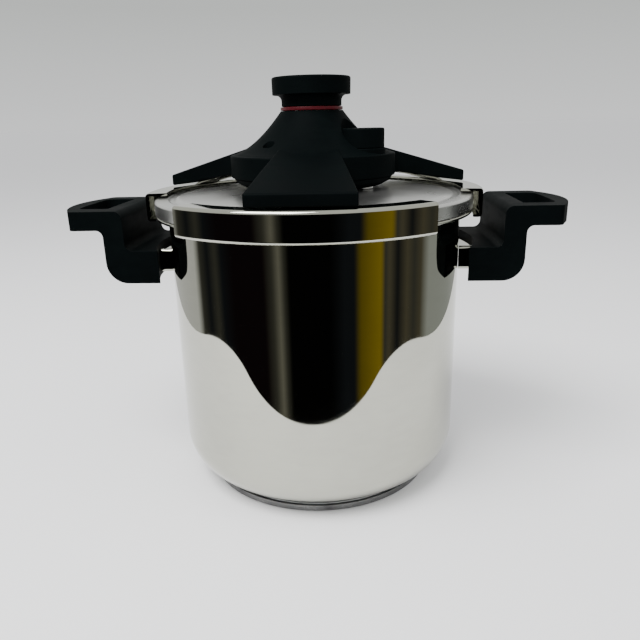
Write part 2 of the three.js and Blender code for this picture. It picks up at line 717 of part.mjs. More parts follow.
function guidePlate() {
  const inner = POST_RADIUS + POST_FIT;
  const plate = solid(tube(inner, hubRadius - GUIDE_INSET, guideBottom, guideTop, HUB_SIDES));
  const aside = TONGUE_WIDTH / 2 + RAIL_PLAY + RAIL_WIDTH / 2;
  const rails = Object.values(JAW_DIRECTIONS).flatMap(angle => [-1, 1].map(side => {
    const rail = new THREE.BoxGeometry(RAIL_LENGTH, RAIL_WIDTH, JAW_WALL + 1);
    rail.translate(camRadius + RAIL_LENGTH - 1, side * aside, guideTop + JAW_WALL / 2 - 0.5);
    return solid(rail.rotateZ(angle));
  }));
  const top = guideTop + OVERCUT;
  return cut(
    join(plate, ...rails),
    solid(at(rod(VALVE_CUP_RADIUS + GAP, 0, top), valvePlace, VALVE_ANGLE)),
    solid(at(rod(INDICATOR_PIN_RADIUS + POST_FIT, 0, top), indicatorPlace, INDICATOR_ANGLE)),
    ...hubScrewHoles(HUB_SCREW_RADIUS + GAP, 0, top),
  );
}

// The hollow trumpet between the disc's edge and the knob, outside or one wall further in.
function towerPoints(inset) {
  const flare = new THREE.CubicBezierCurve(
    new THREE.Vector2(hubRadius - inset, discTop - inset),
    new THREE.Vector2(hubRadius * 0.735 - inset, discTop + 2 - inset),
    new THREE.Vector2(towerTopRadius + 6.7 - inset, towerTop - 8.7 - inset),
    new THREE.Vector2(towerTopRadius - inset * 0.8, towerTop - 2 * inset),
  );
  return flare.getPoints(8).map(point => [point.x, point.y]);
}

function coverOutside() {
  const [, ...flare] = towerPoints(0);
  return turned([
    [0, coverBottom],
    [hubRadius, coverBottom],
    [hubRadius, discTop - DISC_CHAMFER],
    [hubRadius - DISC_CHAMFER, discTop],
    ...flare,
    [0, towerTop],
  ], HUB_SIDES);
}

function coverInside() {
  return turned([
    [0, coverBottom - 1],
    [hubRadius - HUB_WALL, coverBottom - 1],
    [hubRadius - HUB_WALL, discInnerTop - 1],
    ...towerPoints(HUB_WALL),
    [0, towerTop - 2 * HUB_WALL],
  ], HUB_SIDES);
}

// One arm on +X: a plan that widens outwards, cut by a side view that falls towards its end.
function armBlock(inset) {
  const slope = (discTop - 0.3 - armEndTop) / (armEndRadius - hubRadius);
  const start = ARM_ROOT_RADIUS;
  const end = armEndRadius - inset;
  const endTop = armEndTop - inset + slope * inset;
  const bottom = inset > 0 ? -OVERCUT : 0;
  const plan = outline([
    [start, -ARM_ROOT_HALF_WIDTH + inset, 0],
    [end, -ARM_END_HALF_WIDTH + inset, inset > 0 ? 0 : 1.5],
    [end, ARM_END_HALF_WIDTH - inset, inset > 0 ? 0 : 1.5],
    [start, ARM_ROOT_HALF_WIDTH - inset, 0],
  ]);
  const side = outline([
    [start, coverBottom + bottom, 0],
    [hubRadius, coverBottom + bottom, 0],
    [end, armEndBottom + bottom, 0],
    [end, endTop, inset > 0 ? 0 : 1.2],
    [start, endTop + slope * (end - start), 0],
  ]);
  const body = solid(prism(plan, 0, towerTop, 2));
  return body.intersect(solid(slab(side, ARM_END_HALF_WIDTH + OVERCUT, 2)));
}

function threeArms(inset) {
  return Object.values(JAW_DIRECTIONS).map(angle => (
    armBlock(inset).rotate([0, 0, THREE.MathUtils.radToDeg(angle)])
  ));
}

function atValve(radius, bottom, top) {
  return solid(at(rod(radius, bottom, top, SELECTOR_SIDES), valvePlace, VALVE_ANGLE));
}

// The cover's inner room, less what stands in it under the selector and round the screws.
function coverRoom() {
  return cut(
    join(solid(coverInside()), ...threeArms(HUB_WALL)),
    atValve(SELECTOR_RADIUS + HUB_WALL, discInnerTop, towerTop),
    ...hubScrewHoles(SCREW_PILLAR_RADIUS, tongueBottom, discTop),
  );
}

// The bore for the shaft, wider below its top edge for the bush.
function bearingBore() {
  const bushRoom = shaftRadius + BUSH_WALL + GAP;
  const neck = shaftRadius + BEARING_PLAY;
  const shoulder = towerTop - BUSH_DROP + GAP;
  return solid(turned([
    [0, discTop],
    [bushRoom, discTop],
    [bushRoom, shoulder],
    [neck, shoulder],
    [neck, towerTop + OVERCUT],
    [0, towerTop + OVERCUT],
  ], HUB_SIDES));
}

function indicatorSlot() {
  const slot = outline([[-5, -2.8, 2], [5, -2.8, 2], [5, 2.8, 2], [-5, 2.8, 2]]);
  const tool = prism(slot, discInnerTop - OVERCUT, towerTop, 2).rotateZ(INDICATOR_ANGLE + Math.PI / 2);
  return solid(at(tool, indicatorPlace, INDICATOR_ANGLE));
}

function hubCover() {
  const collar = atValve(SELECTOR_RADIUS + 1, coverBottom + OVERCUT, discTop + SELECTOR_COLLAR);
  return cut(
    join(solid(coverOutside()), collar, ...threeArms(0)),
    coverRoom(),
    bearingBore(),
    indicatorSlot(),
    atValve(SELECTOR_RADIUS + 0.5, discTop + SELECTOR_COLLAR, towerTop + OVERCUT),
    solid(at(rod(SELECTOR_STEM + GAP, 0, towerTop), valvePlace, VALVE_ANGLE)),
    ...hubScrewHoles(HUB_SCREW_RADIUS + GAP, coverBottom - OVERCUT, discInnerTop),
  );
}

function shaftBush() {
  const top = towerTop - BUSH_DROP;
  return tube(shaftRadius + GAP, shaftRadius + BUSH_WALL, top - BUSH_HEIGHT, top, SHAFT_SIDES);
}

function hubScrew() {
  const seat = trayTop - HUB_WALL - GAP;
  const head = 2 * HUB_SCREW_RADIUS;
  return turned([
    [0, seat - 2],
    [head, seat - 2],
    [head, seat],
    [HUB_SCREW_RADIUS, seat],
    [HUB_SCREW_RADIUS, discInnerTop - 2],
    [0, discInnerTop - 2],
  ]);
}

place('hub_base', hubBase(), blackPlastic, lid);
place('guide_plate', guidePlate(), brushedSteel, lid);
place('hub_cover', hubCover(), blackPlastic, lid);
place('shaft_bush', shaftBush(), nylon, lid);
hubScrewDirections.forEach((angle, i) => {
  place(`hub_screw_${i + 1}`, hubScrew(), brushedSteel, station(hubScrewPlace, angle));
});

// ---- Jaws ----------------------------------------------------------------------------------
// A jaw on +X: a C-shaped channel round a third of the rim, with a flat tongue to the hub.
function jawChannel() {
  const top = jawTop - JAW_WALL;
  const bottom = jawBottom + JAW_WALL;
  const flange = jawOuterRadius - JAW_TOP_WIDTH;
  const ring = turned([
    [jawLipRadius, bottom],
    [jawLipRadius, jawBottom + 0.4],
    [jawLipRadius + 0.6, jawBottom],
    [jawOuterRadius - 2, jawBottom],
    [jawOuterRadius - 0.6, jawBottom + 0.6],
    [jawOuterRadius, jawBottom + 2],
    [jawOuterRadius, jawTop - 1.6],
    [jawOuterRadius - 0.5, jawTop - 0.5],
    [jawOuterRadius - 1.6, jawTop],
    [flange, jawTop],
    [flange, top],
    [jawInnerRadius, top],
    [jawInnerRadius, bottom],
  ], RING_SIDES);
  const reach = 2 * jawOuterRadius;
  const wedge = new THREE.Shape();
  wedge.moveTo(0, 0);
  wedge.lineTo(reach * Math.cos(JAW_HALF_ANGLE), -reach * Math.sin(JAW_HALF_ANGLE));
  wedge.lineTo(reach * Math.cos(JAW_HALF_ANGLE), reach * Math.sin(JAW_HALF_ANGLE));
  wedge.closePath();
  return solid(ring).intersect(solid(prism(wedge, jawBottom - OVERCUT, jawTop + OVERCUT)));
}

function jawTongue() {
  const foot = jawOuterRadius - JAW_TOP_WIDTH + TONGUE_LAP;
  const bend = hubRadius + 1.4;
  const inner = pinPlace - TONGUE_PIN_MARGIN;
  const side = outline([
    [inner, tongueBottom, 0],
    [bend, tongueBottom, 0],
    [foot - 6, jawTop + 1, 0],
    [foot, jawTop - JAW_WALL, 0],
    [foot + 2, jawTop - JAW_WALL, 0],
    [foot + 2, jawTop - 0.3, 0],
    [foot - 5.4, jawTop + 3, 0],
    [bend + 0.4, tongueTop, 0],
    [inner, tongueTop, 0],
  ]);
  const hole = rod(PIN_RADIUS + GAP, tongueBottom - OVERCUT, tongueTop + OVERCUT);
  return cut(solid(slab(side, TONGUE_WIDTH / 2)), solid(hole.translate(pinPlace, 0, 0)));
}

for (const [side, angle] of Object.entries(JAW_DIRECTIONS)) {
  const group = new THREE.Group();
  group.rotation.z = angle;
  lid.add(group);
  place(`jaw_${side}`, join(jawChannel(), jawTongue()), polishedSteel, group);
  const pin = place(`jaw_pin_${side}`, rod(PIN_RADIUS, tongueBottom, camTop + 0.7), brushedSteel, group);
  pin.position.x = pinPlace;
}

// ---- Cam plate, shaft and knob ------------------------------------------------------------
// A slot whose middle line comes nearer the axis by JAW_TRAVEL over KNOB_TURN.
function spiralSlot(start) {
  const steps = 10;
  const half = PIN_RADIUS + CAM_SLOT_PLAY;
  const sideLine = offset => Array.from({ length: steps + 1 }, (_, i) => {
    const share = i / steps;
    const turn = -CAM_SLOT_OVERRUN + (KNOB_TURN + 2 * CAM_SLOT_OVERRUN) * share;
    const distance = pinPlace - (JAW_TRAVEL * turn) / KNOB_TURN + offset;
    return new THREE.Vector2(distance * Math.cos(start + turn), distance * Math.sin(start + turn));
  });
  return new THREE.Shape([...sideLine(half), ...sideLine(-half).reverse()]);
}

function camPlate() {
  const slots = Object.values(JAW_DIRECTIONS).map(angle => (
    solid(prism(spiralSlot(angle), camBottom - OVERCUT, camTop + OVERCUT))
  ));
  const hex = solid(prism(hexOutline(shaftHex + 2 * GAP), camBottom - OVERCUT, camTop + OVERCUT));
  return cut(solid(rod(camRadius, camBottom, camTop, HUB_SIDES)), hex, ...slots);
}

function knobScrewHoles(radius, bottom, top) {
  return [0, 1, 2].map(i => solid(at(rod(radius, bottom, top), knobScrewPlace, (i * 2 * Math.PI) / 3)));
}

function driveShaft() {
  const body = solid(rod(shaftRadius, camTop + GAP, shaftTop, SHAFT_SIDES));
  const hex = solid(prism(hexOutline(shaftHex), camBottom, camTop + 2));
  const top = shaftTop + OVERCUT;
  const screwDepth = KNOB_SCREW_LENGTH - KNOB_WEB;
  return cut(
    join(body, hex),
    solid(rod(POST_RADIUS + POST_FIT, camBottom - OVERCUT, top)),
    solid(rod(shaftBore, shaftShelf, top, SHAFT_SIDES)),
    ...knobScrewHoles(KNOB_SCREW_RADIUS + GAP, shaftTop - screwDepth, top),
  );
}

function knob() {
  const neckFillet = new THREE.QuadraticBezierCurve(
    new THREE.Vector2(knobNeckRadius, knobBottom + 2.8),
    new THREE.Vector2(knobNeckRadius + 0.8, knobBottom + 7.6),
    new THREE.Vector2(knobCapRadius - 0.8, knobBottom + 8.8),
  );
  const innerWall = knobRecess - 3.3;
  const shelf = knobCapBottom - GAP;
  const body = solid(turned([
    [shaftRadius + GAP, knobBottom],
    [knobNeckRadius, knobBottom],
    ...neckFillet.getPoints(3).map(point => [point.x, point.y]),
    [knobCapRadius, knobTop - 1.2],
    [knobCapRadius - 1, knobTop - 0.2],
    [knobCapRadius - 2.2, knobTop],
    [knobRecess, knobTop],
    [knobRecess, shelf],
    [innerWall, shelf],
    [innerWall, knobWebTop],
    [POST_RADIUS, knobWebTop],
    [POST_RADIUS, knobWebBottom],
    [shaftRadius + GAP, knobWebBottom],
  ], HUB_SIDES));
  return cut(body, ...knobScrewHoles(KNOB_SCREW_RADIUS + POST_FIT, knobBottom, knobTop));
}

function knobScrew() {
  const seat = knobWebTop + GAP;
  const head = KNOB_SCREW_RADIUS + 1.4;
  return turned([
    [0, seat - KNOB_SCREW_LENGTH],
    [KNOB_SCREW_RADIUS, seat - KNOB_SCREW_LENGTH],
    [KNOB_SCREW_RADIUS, seat],
    [head, seat],
    [head, seat + 1.6],
    [0, seat + 1.6],
  ]);
}

function knobCap() {
  const radius = knobRecess - GAP;
  return turned([
    [0, knobCapBottom],
    [radius, knobCapBottom],
    [radius, knobTop - 0.5],
    [radius - 0.6, knobTop],
    [0, knobTop],
  ], HUB_SIDES);
}

function redRing() {
  return tube(shaftRadius + BEARING_PLAY, towerTopRadius, ringBottom, ringBottom + RING_THICKNESS, HUB_SIDES);
}

place('cam_plate', camPlate(), brushedSteel, lid);
place('drive_shaft', driveShaft(), brushedSteel, lid);
place('red_ring', redRing(), redPlastic, lid);
place('knob', knob(), blackPlastic, lid);
place('knob_cap', knobCap(), blackPlastic, lid);
for (let i = 0; i < 3; i += 1) {
  place(`knob_screw_${i + 1}`, knobScrew(), brushedSteel, station(knobScrewPlace, (i * 2 * Math.PI) / 3));
}

// ---- Operating valve under its selector -----------------------------------------------------
const valve = station(valvePlace, VALVE_ANGLE);

function valveBody() {
  return turned([
    [VALVE_PORT, lidUnderside - 8.7],
    [VALVE_THREAD, lidUnderside - 8.7],
    [VALVE_THREAD, crown + GAP],
    [VALVE_CUP_RADIUS - 0.5, crown + GAP],
    [VALVE_CUP_RADIUS - 0.5, valveSeat - 1],
    [VALVE_CUP_RADIUS, valveSeat - 1],
    [VALVE_CUP_RADIUS, valveCupTop],
    [VALVE_CUP_BORE, valveCupTop],
    [VALVE_CUP_BORE, valveSeat],
    [VALVE_PORT, valveSeat],
  ]);
}

function valvePoppet() {
  const head = VALVE_CUP_BORE - 0.7;
  return turned([
    [0, valveSeat - 1.5],
    [1.6, valveSeat - 1.5],
    [1.8, valveSeat + 0.6],
    [head, valveSeat + 0.6],
    [head, valveSeat + 3],
    [1.6, valveSeat + 3],
    [1.6, valveCupTop + 1],
    [0, valveCupTop + 1],
  ]);
}

function valveSelector() {
  const top = selectorBottom + SELECTOR_HEIGHT;
  const roof = top - SELECTOR_WALL;
  const stemEnd = discInnerTop - 0.5;
  const body = solid(turned([
    [2.5, stemEnd],
    [SELECTOR_STEM, stemEnd],
    [SELECTOR_STEM, roof],
    [SELECTOR_RADIUS - SELECTOR_WALL, roof],
    [SELECTOR_RADIUS - SELECTOR_WALL, selectorBottom],
    [SELECTOR_RADIUS, selectorBottom],
    [SELECTOR_RADIUS, top - 1],
    [SELECTOR_RADIUS - 1, top],
    [0, top],
    [0, roof - 4],
    [2.5, roof - 4],
  ], SELECTOR_SIDES));
  const groove = new THREE.BoxGeometry(7, 2, 2).translate(SELECTOR_RADIUS - 5, 0, top);
  return cut(body, solid(groove));
}

function valveSeal() {
  const top = lidUnderside - GAP;
  return tube(VALVE_THREAD + GAP, VALVE_CUP_RADIUS + GAP, top - 1.8, top);
}

function valveNut() {
  return hexNut(2 * (VALVE_THREAD + 3), VALVE_THREAD + GAP, lidUnderside - 6.6, lidUnderside - 2.4);
}

place('valve_body', valveBody(), brushedSteel, valve);
place('valve_seal', valveSeal(), silicone, valve);
place('valve_nut', valveNut(), brushedSteel, valve);
place('valve_poppet', valvePoppet(), brushedSteel, valve);
place('valve_spring', coil(4, 0.45, valveSeat + 3.3, discInnerTop - 0.8, 5), brushedSteel, valve);
place('valve_selector', valveSelector(), blackPlastic, valve);

// ---- Pressure indicator ----------------------------------------------------------------------
const indicator = station(indicatorPlace, INDICATOR_ANGLE);

function indicatorBody() {
  const bore = INDICATOR_PIN_RADIUS + GAP;
  return turned([
    [bore, indicatorFoot],
    [INDICATOR_THREAD, indicatorFoot],
    [INDICATOR_THREAD, crown + GAP],
    [INDICATOR_BODY_RADIUS, crown + GAP],
    [INDICATOR_BODY_RADIUS, crown + 5.6],
    [bore, crown + 5.6],
  ]);
}

function pressurePin() {
  const head = pinSealTop - 1.5;
  return turned([
    [0, head - 1.5],
    [INDICATOR_PIN_HEAD, head - 1.5],
    [INDICATOR_PIN_HEAD, head],
    [INDICATOR_PIN_RADIUS, head],
    [INDICATOR_PIN_RADIUS, discTop + 4.6],
    [INDICATOR_PIN_RADIUS - 0.7, discTop + 5.4],
    [0, discTop + 5.4],
  ]);
}

function indicatorNut() {
  return hexNut(11, INDICATOR_THREAD + GAP, lidUnderside - 4, lidUnderside - GAP);
}

function pinSeal() {
  return tube(INDICATOR_PIN_RADIUS + GAP, INDICATOR_PIN_RADIUS + 1.5, pinSealTop - 1.2, pinSealTop);
}

place('indicator_body', indicatorBody(), brushedSteel, indicator);
place('indicator_nut', indicatorNut(), brushedSteel, indicator);
place('pressure_pin', pressurePin(), brushedSteel, indicator);
place('pin_seal', pinSeal(), silicone, indicator);

// ---- Safety valve ------------------------------------------------------------------------------
const safety = station(safetyPlace, SAFETY_ANGLE);

function safetyBody() {
  return turned([
    [2.4, safetyFoot],
    [SAFETY_THREAD, safetyFoot],
    [SAFETY_THREAD, crown - 0.2],
    [SAFETY_HEAD_RADIUS, crown - 0.2],
    [SAFETY_HEAD_RADIUS, safetyTop - 0.6],
    [SAFETY_HEAD_RADIUS - 0.6, safetyTop],
    [SAFETY_BORE, safetyTop],
    [SAFETY_BORE, safetyFoot + 1.5],
    [2.4, safetyFoot + 1.5],
  ]);
}

function safetyPlunger() {
  return turned([
    [0, safetyFoot + 0.5],
    [2, safetyFoot + 0.5],
    [2, safetyFoot + 1.8],
    [SAFETY_BORE - 0.4, safetyFoot + 1.8],
    [SAFETY_BORE - 0.4, safetyFoot + 3.2],
    [1.6, safetyFoot + 3.2],
    [1.6, safetyTop + 1],
    [4.6, safetyTop + 1],
    [4.6, safetyTop + 2.2],
    [3.8, safetyTop + 3],
    [0, safetyTop + 3],
  ]);
}

function safetyNut() {
  return hexNut(18, SAFETY_THREAD + GAP, safetyFoot + 0.8, safetyFoot + 4.4);
}

function safetyCap() {
  return tube(2, SAFETY_BORE - GAP, safetyTop - 1.9, safetyTop - 0.2);
}

place('safety_body', safetyBody(), brushedSteel, safety);
place('safety_nut', safetyNut(), brushedSteel, safety);
place('safety_plunger', safetyPlunger(), brushedSteel, safety);
place('safety_spring', coil(2.8, 0.4, safetyFoot + 3.5, safetyTop - 2.2, 4), brushedSteel, safety);
place('safety_cap', safetyCap(), brushedSteel, safety);

export default cooker;
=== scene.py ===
# %% [markdown]
# # A stovetop pressure cooker
#
# A pressure cooker is a drawn steel pot, a steel lid with a rubber ring, and a mechanism that
# holds the lid down. On this one a knob draws three C-shaped jaws in under the rim. This lesson
# builds its looks around a finished mechanical model: every size comes from that model's frame,
# and each cell makes one piece or one finish.

import json
import math

import bmesh
import bpy
from mathutils import Matrix, Vector


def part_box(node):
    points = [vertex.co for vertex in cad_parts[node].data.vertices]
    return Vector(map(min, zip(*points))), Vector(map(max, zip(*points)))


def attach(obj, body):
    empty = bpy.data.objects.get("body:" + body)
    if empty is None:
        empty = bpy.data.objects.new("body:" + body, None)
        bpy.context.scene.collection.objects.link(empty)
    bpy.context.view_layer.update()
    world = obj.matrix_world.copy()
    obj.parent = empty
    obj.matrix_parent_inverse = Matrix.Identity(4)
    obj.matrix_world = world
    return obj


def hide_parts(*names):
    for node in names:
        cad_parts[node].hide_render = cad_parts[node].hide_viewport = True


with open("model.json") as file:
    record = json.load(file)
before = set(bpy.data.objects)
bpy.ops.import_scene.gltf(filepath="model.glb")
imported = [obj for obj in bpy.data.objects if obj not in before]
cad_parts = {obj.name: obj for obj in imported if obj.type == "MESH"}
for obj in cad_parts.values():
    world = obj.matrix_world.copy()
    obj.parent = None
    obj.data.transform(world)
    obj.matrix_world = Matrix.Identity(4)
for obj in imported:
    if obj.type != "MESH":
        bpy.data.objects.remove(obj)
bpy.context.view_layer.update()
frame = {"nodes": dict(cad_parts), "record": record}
scene = bpy.context.scene
MM = 0.001

# %% [markdown]
# ## Camera
#
# The camera stands a little above the knob and looks down by 18 degrees, from just right of the
# front jaw. Its matrix is a move and three turns, read from the right: roll, pitch, heading.

# %% Camera
camera_data = bpy.data.cameras.new("camera")
camera_data.sensor_width = 36.0
camera_data.lens = 34.65
camera_data.clip_start = 0.01
camera = bpy.data.objects.new("camera", camera_data)
scene.collection.objects.link(camera)
camera.matrix_world = (
    Matrix.Translation((0.0340, -0.4866, 0.2798))
    @ Matrix.Rotation(math.radians(3.71), 4, "Z")
    @ Matrix.Rotation(math.radians(90 - 18.05), 4, "X")
    @ Matrix.Rotation(math.radians(-1.36), 4, "Z")
)
scene.camera = camera
print("camera at", [round(value, 3) for value in camera.location])

# %% [markdown]
# ## Floor and table
#
# Polished steel shows nothing but its surroundings, so these matter more than the metal itself.
# A small pale table ends in front of the pot, and its edge draws the curved line across the wall.
# The wide floor under it is hidden from mirror rays, which then look out past the table.

# %% Floor and table


def plain_material(name, color, roughness):
    finish = bpy.data.materials.new(name)
    finish.use_nodes = True
    shader = finish.node_tree.nodes["Principled BSDF"]
    shader.inputs["Base Color"].default_value = (*color, 1)
    shader.inputs["Roughness"].default_value = roughness
    return finish


def sheet_on_floor(name, low, high, height, finish, corner=0):
    bm = bmesh.new()
    bmesh.ops.create_grid(bm, x_segments=1, y_segments=1, size=0.5)
    size = Vector(high) - Vector(low)
    bmesh.ops.scale(bm, verts=bm.verts, vec=(size.x, size.y, 1))
    middle = (Vector(high) + Vector(low)) / 2
    bmesh.ops.translate(bm, verts=bm.verts, vec=(middle.x, middle.y, height))
    if corner:
        front = [vert for vert in bm.verts if vert.co.y < middle.y]
        bmesh.ops.bevel(bm, geom=front, offset=corner, segments=24, profile=0.5, affect="VERTICES")
    mesh = bpy.data.meshes.new(name)
    bm.to_mesh(mesh)
    bm.free()
    mesh.materials.append(finish)
    sheet = bpy.data.objects.new(name, mesh)
    scene.collection.objects.link(sheet)
    return sheet


pale_floor = plain_material("pale_floor", (0.86, 0.86, 0.87), 0.7)
table = sheet_on_floor("table", (-0.477, -0.269), (0.453, 1.2), -0.0002, pale_floor, corner=0.21)
floor = sheet_on_floor("floor", (-30, -30), (30, 30), -0.0006, pale_floor)
floor.visible_glossy = False
print("table is", [round(side, 2) for side in table.dimensions[:2]], "m")

# %% [markdown]
# ## Surroundings
#
# The world answers each kind of ray. Mirror rays that leave downwards meet a dark room with a few
# panels, placed by heading with a colour ramp, and mirror rays that leave upwards meet a pale
# ceiling. The camera sees a backdrop that darkens a little upwards, and dull surfaces are lit by
# an even pale dome.

# %% Surroundings


def link(tree, start, end):
    tree.links.new(start, end)


def add_node(tree, kind, **settings):
    node = tree.nodes.new(kind)
    for key, value in settings.items():
        setattr(node, key, value)
    return node


def number(tree, operation, first, second=None, third=None, clamp=False):
    node = add_node(tree, "ShaderNodeMath", operation=operation, use_clamp=clamp)
    for socket, value in zip(node.inputs, (first, second, third)):
        if value is None:
            continue
        if isinstance(value, (int, float)):
            socket.default_value = value
        else:
            link(tree, value, socket)
    return node.outputs[0]


def blend_colors(tree, share, first, second):
    node = add_node(tree, "ShaderNodeMix", data_type="RGBA")
    for socket, value in ((node.inputs[0], share), (node.inputs[6], first), (node.inputs[7], second)):
        if isinstance(value, tuple):
            socket.default_value = (*value, 1)
        elif isinstance(value, (int, float)):
            socket.default_value = value
        else:
            link(tree, value, socket)
    return node.outputs[2]


def ramp(tree, share, stops):
    node = add_node(tree, "ShaderNodeValToRGB")
    marks = node.color_ramp.elements
    while len(marks) < len(stops):
        marks.new(0.5)
    for mark, (place, color) in zip(marks, stops):
        mark.position = place
        mark.color = (*color, 1)
    link(tree, share, node.inputs[0])
    return node.outputs[0]


BLACK_ROOM = (0.0025, 0.0025, 0.0025)
BROWN = (0.008, 0.005, 0.006)
BLUE = (0.012, 0.014, 0.017)
DIM = (0.055, 0.055, 0.045)
GREY = (0.10, 0.09, 0.06)
PANEL = (0.19, 0.185, 0.15)
DARK_OCHRE = (0.155, 0.115, 0.010)
OCHRE = (0.29, 0.21, 0.014)
PALE = (0.58, 0.59, 0.56)
PALE_LEFT = (0.74, 0.75, 0.73)
PALE_RIGHT = (0.40, 0.42, 0.40)
CEILING = (0.90, 0.91, 0.89)
BACKDROP_LOW = (0.87, 0.88, 0.885)
BACKDROP_HIGH = (0.63, 0.65, 0.635)
LIGHTING = (1.00, 1.01, 1.02)

world = bpy.data.worlds.new("studio")
world.use_nodes = True
sky = world.node_tree
sky.nodes.clear()
direction = add_node(sky, "ShaderNodeSeparateXYZ")
link(sky, add_node(sky, "ShaderNodeTexCoord").outputs["Generated"], direction.inputs[0])
east, north, up = direction.outputs
heading = number(sky, "ARCTAN2", east, number(sky, "MULTIPLY", north, -1.0))
turn_share = number(sky, "MULTIPLY_ADD", heading, 0.5 / math.pi, 0.5)
ROOM = [
    (0.00, PALE), (0.14, PALE_LEFT), (0.215, PALE_LEFT), (0.235, DIM), (0.26, BLUE),
    (0.283, DIM), (0.30, BLUE), (0.33, BROWN), (0.40, BROWN), (0.42, DIM), (0.434, PANEL),
    (0.444, DIM), (0.455, BLACK_ROOM), (0.54, BLACK_ROOM), (0.57, BLUE), (0.592, BLUE),
    (0.606, DARK_OCHRE), (0.65, OCHRE), (0.66, DIM), (0.67, GREY), (0.69, BLUE), (0.715, GREY),
    (0.735, DIM), (0.755, GREY), (0.78, PALE_RIGHT), (0.86, PALE_RIGHT), (1.00, PALE),
]
room = ramp(sky, turn_share, ROOM)
ceiling = number(sky, "MULTIPLY_ADD", up, 6.0, 0.1, clamp=True)
seen_in_mirrors = blend_colors(sky, ceiling, room, CEILING)
rise = number(sky, "MULTIPLY", up, 6.5, clamp=True)
backdrop = blend_colors(sky, rise, BACKDROP_LOW, BACKDROP_HIGH)
ray = add_node(sky, "ShaderNodeLightPath")
plain_sky = blend_colors(sky, ray.outputs["Is Camera Ray"], LIGHTING, backdrop)
sky_color = blend_colors(sky, ray.outputs["Is Glossy Ray"], plain_sky, seen_in_mirrors)
background = add_node(sky, "ShaderNodeBackground")
link(sky, sky_color, background.inputs["Color"])
link(sky, background.outputs[0], add_node(sky, "ShaderNodeOutputWorld").inputs["Surface"])
scene.world = world
print("room has", len(ROOM), "stops round the horizon")

# %% [markdown]
# ## Lights
#
# Two soft area lights: a key high on the left that gives the table its shadow and the black
# plastic its sheen, and a weak fill on the right that mirror rays do not see.

# %% Lights


LIGHT_TARGET = Vector((0, 0, 0.15))


def soft_light(name, place, size, power):
    data = bpy.data.lights.new(name, "AREA")
    data.shape = "RECTANGLE"
    data.size, data.size_y = size
    data.energy = power
    light = bpy.data.objects.new(name, data)
    light.location = place
    light.rotation_euler = (LIGHT_TARGET - Vector(place)).to_track_quat("-Z", "Y").to_euler()
    scene.collection.objects.link(light)
    return light


key = soft_light("key", (-0.5, -0.7, 1.5), (1.0, 0.8), 45)
fill = soft_light("fill", (1.1, -0.3, 0.9), (0.8, 0.8), 4)
fill.visible_glossy = False
print("lights:", key.name, fill.name)

# %% [markdown]
# ## Shared shader effects
#
# Real surfaces are never even. Three small groups are used again and again: marks from hands and
# cloths that make a surface duller in patches, the fine grain of a mould, and the circular lines
# that a turning or polishing wheel leaves. Each puts out a value or a normal, and the material
# decides what to do with it.

# %% Shader groups


def new_group(name, inputs, outputs):
    tree = bpy.data.node_groups.new(name, "ShaderNodeTree")
    for label, value in inputs.items():
        socket = tree.interface.new_socket(name=label, in_out="INPUT", socket_type="NodeSocketFloat")
        socket.default_value = value
    for label, kind in outputs.items():
        tree.interface.new_socket(name=label, in_out="OUTPUT", socket_type=kind)
    return tree, tree.nodes.new("NodeGroupInput"), tree.nodes.new("NodeGroupOutput")


def object_place(tree, stretch=None):
    place = add_node(tree, "ShaderNodeTexCoord").outputs["Object"]
    if stretch is None:
        return place
    mapping = add_node(tree, "ShaderNodeMapping")
    mapping.inputs["Scale"].default_value = stretch
    link(tree, place, mapping.inputs["Vector"])
    return mapping.outputs[0]


def noise(tree, place, scale, detail=3.0, roughness=0.5):
    node = add_node(tree, "ShaderNodeTexNoise")
    link(tree, place, node.inputs["Vector"])
    node.inputs["Detail"].default_value = detail
    node.inputs["Roughness"].default_value = roughness
    if isinstance(scale, (int, float)):
        node.inputs["Scale"].default_value = scale
    else:
        link(tree, scale, node.inputs["Scale"])
    return node.outputs[0]


def marks_group():
    """Roughness that lies between a clean and a marked value, in soft patches and streaks."""
    tree, given, result = new_group(
        "handling_marks",
        {"Clean": 0.05, "Marked": 0.12, "Scale": 14.0},
        {"Roughness": "NodeSocketFloat", "Mask": "NodeSocketFloat"},
    )
    patches = noise(tree, object_place(tree), given.outputs["Scale"], 4.0, 0.6)
    streaks = noise(tree, object_place(tree, (1, 1, 3.5)), 60.0, 2.0)
    mixed = number(tree, "MULTIPLY_ADD", streaks, 0.35, patches)
    mask = number(tree, "MULTIPLY_ADD", mixed, 3.0, -1.75, clamp=True)
    spread = number(tree, "SUBTRACT", given.outputs["Marked"], given.outputs["Clean"])
    roughness = number(tree, "MULTIPLY_ADD", spread, mask, given.outputs["Clean"])
    link(tree, roughness, result.inputs["Roughness"])
    link(tree, mask, result.inputs["Mask"])
    return tree


def grain_group():
    """The fine pebbled skin that a spark-eroded mould gives to plastic, as a normal."""
    tree, given, result = new_group(
        "mould_grain",
        {"Scale": 2400.0, "Depth": 0.08},
        {"Normal": "NodeSocketVector", "Height": "NodeSocketFloat"},
    )
    height = noise(tree, object_place(tree), given.outputs["Scale"], 2.0, 0.6)
    bump = add_node(tree, "ShaderNodeBump")
    bump.inputs["Distance"].default_value = 0.0002
    link(tree, given.outputs["Depth"], bump.inputs["Strength"])
    link(tree, height, bump.inputs["Height"])
    link(tree, bump.outputs[0], result.inputs["Normal"])
    link(tree, height, result.inputs["Height"])
    return tree


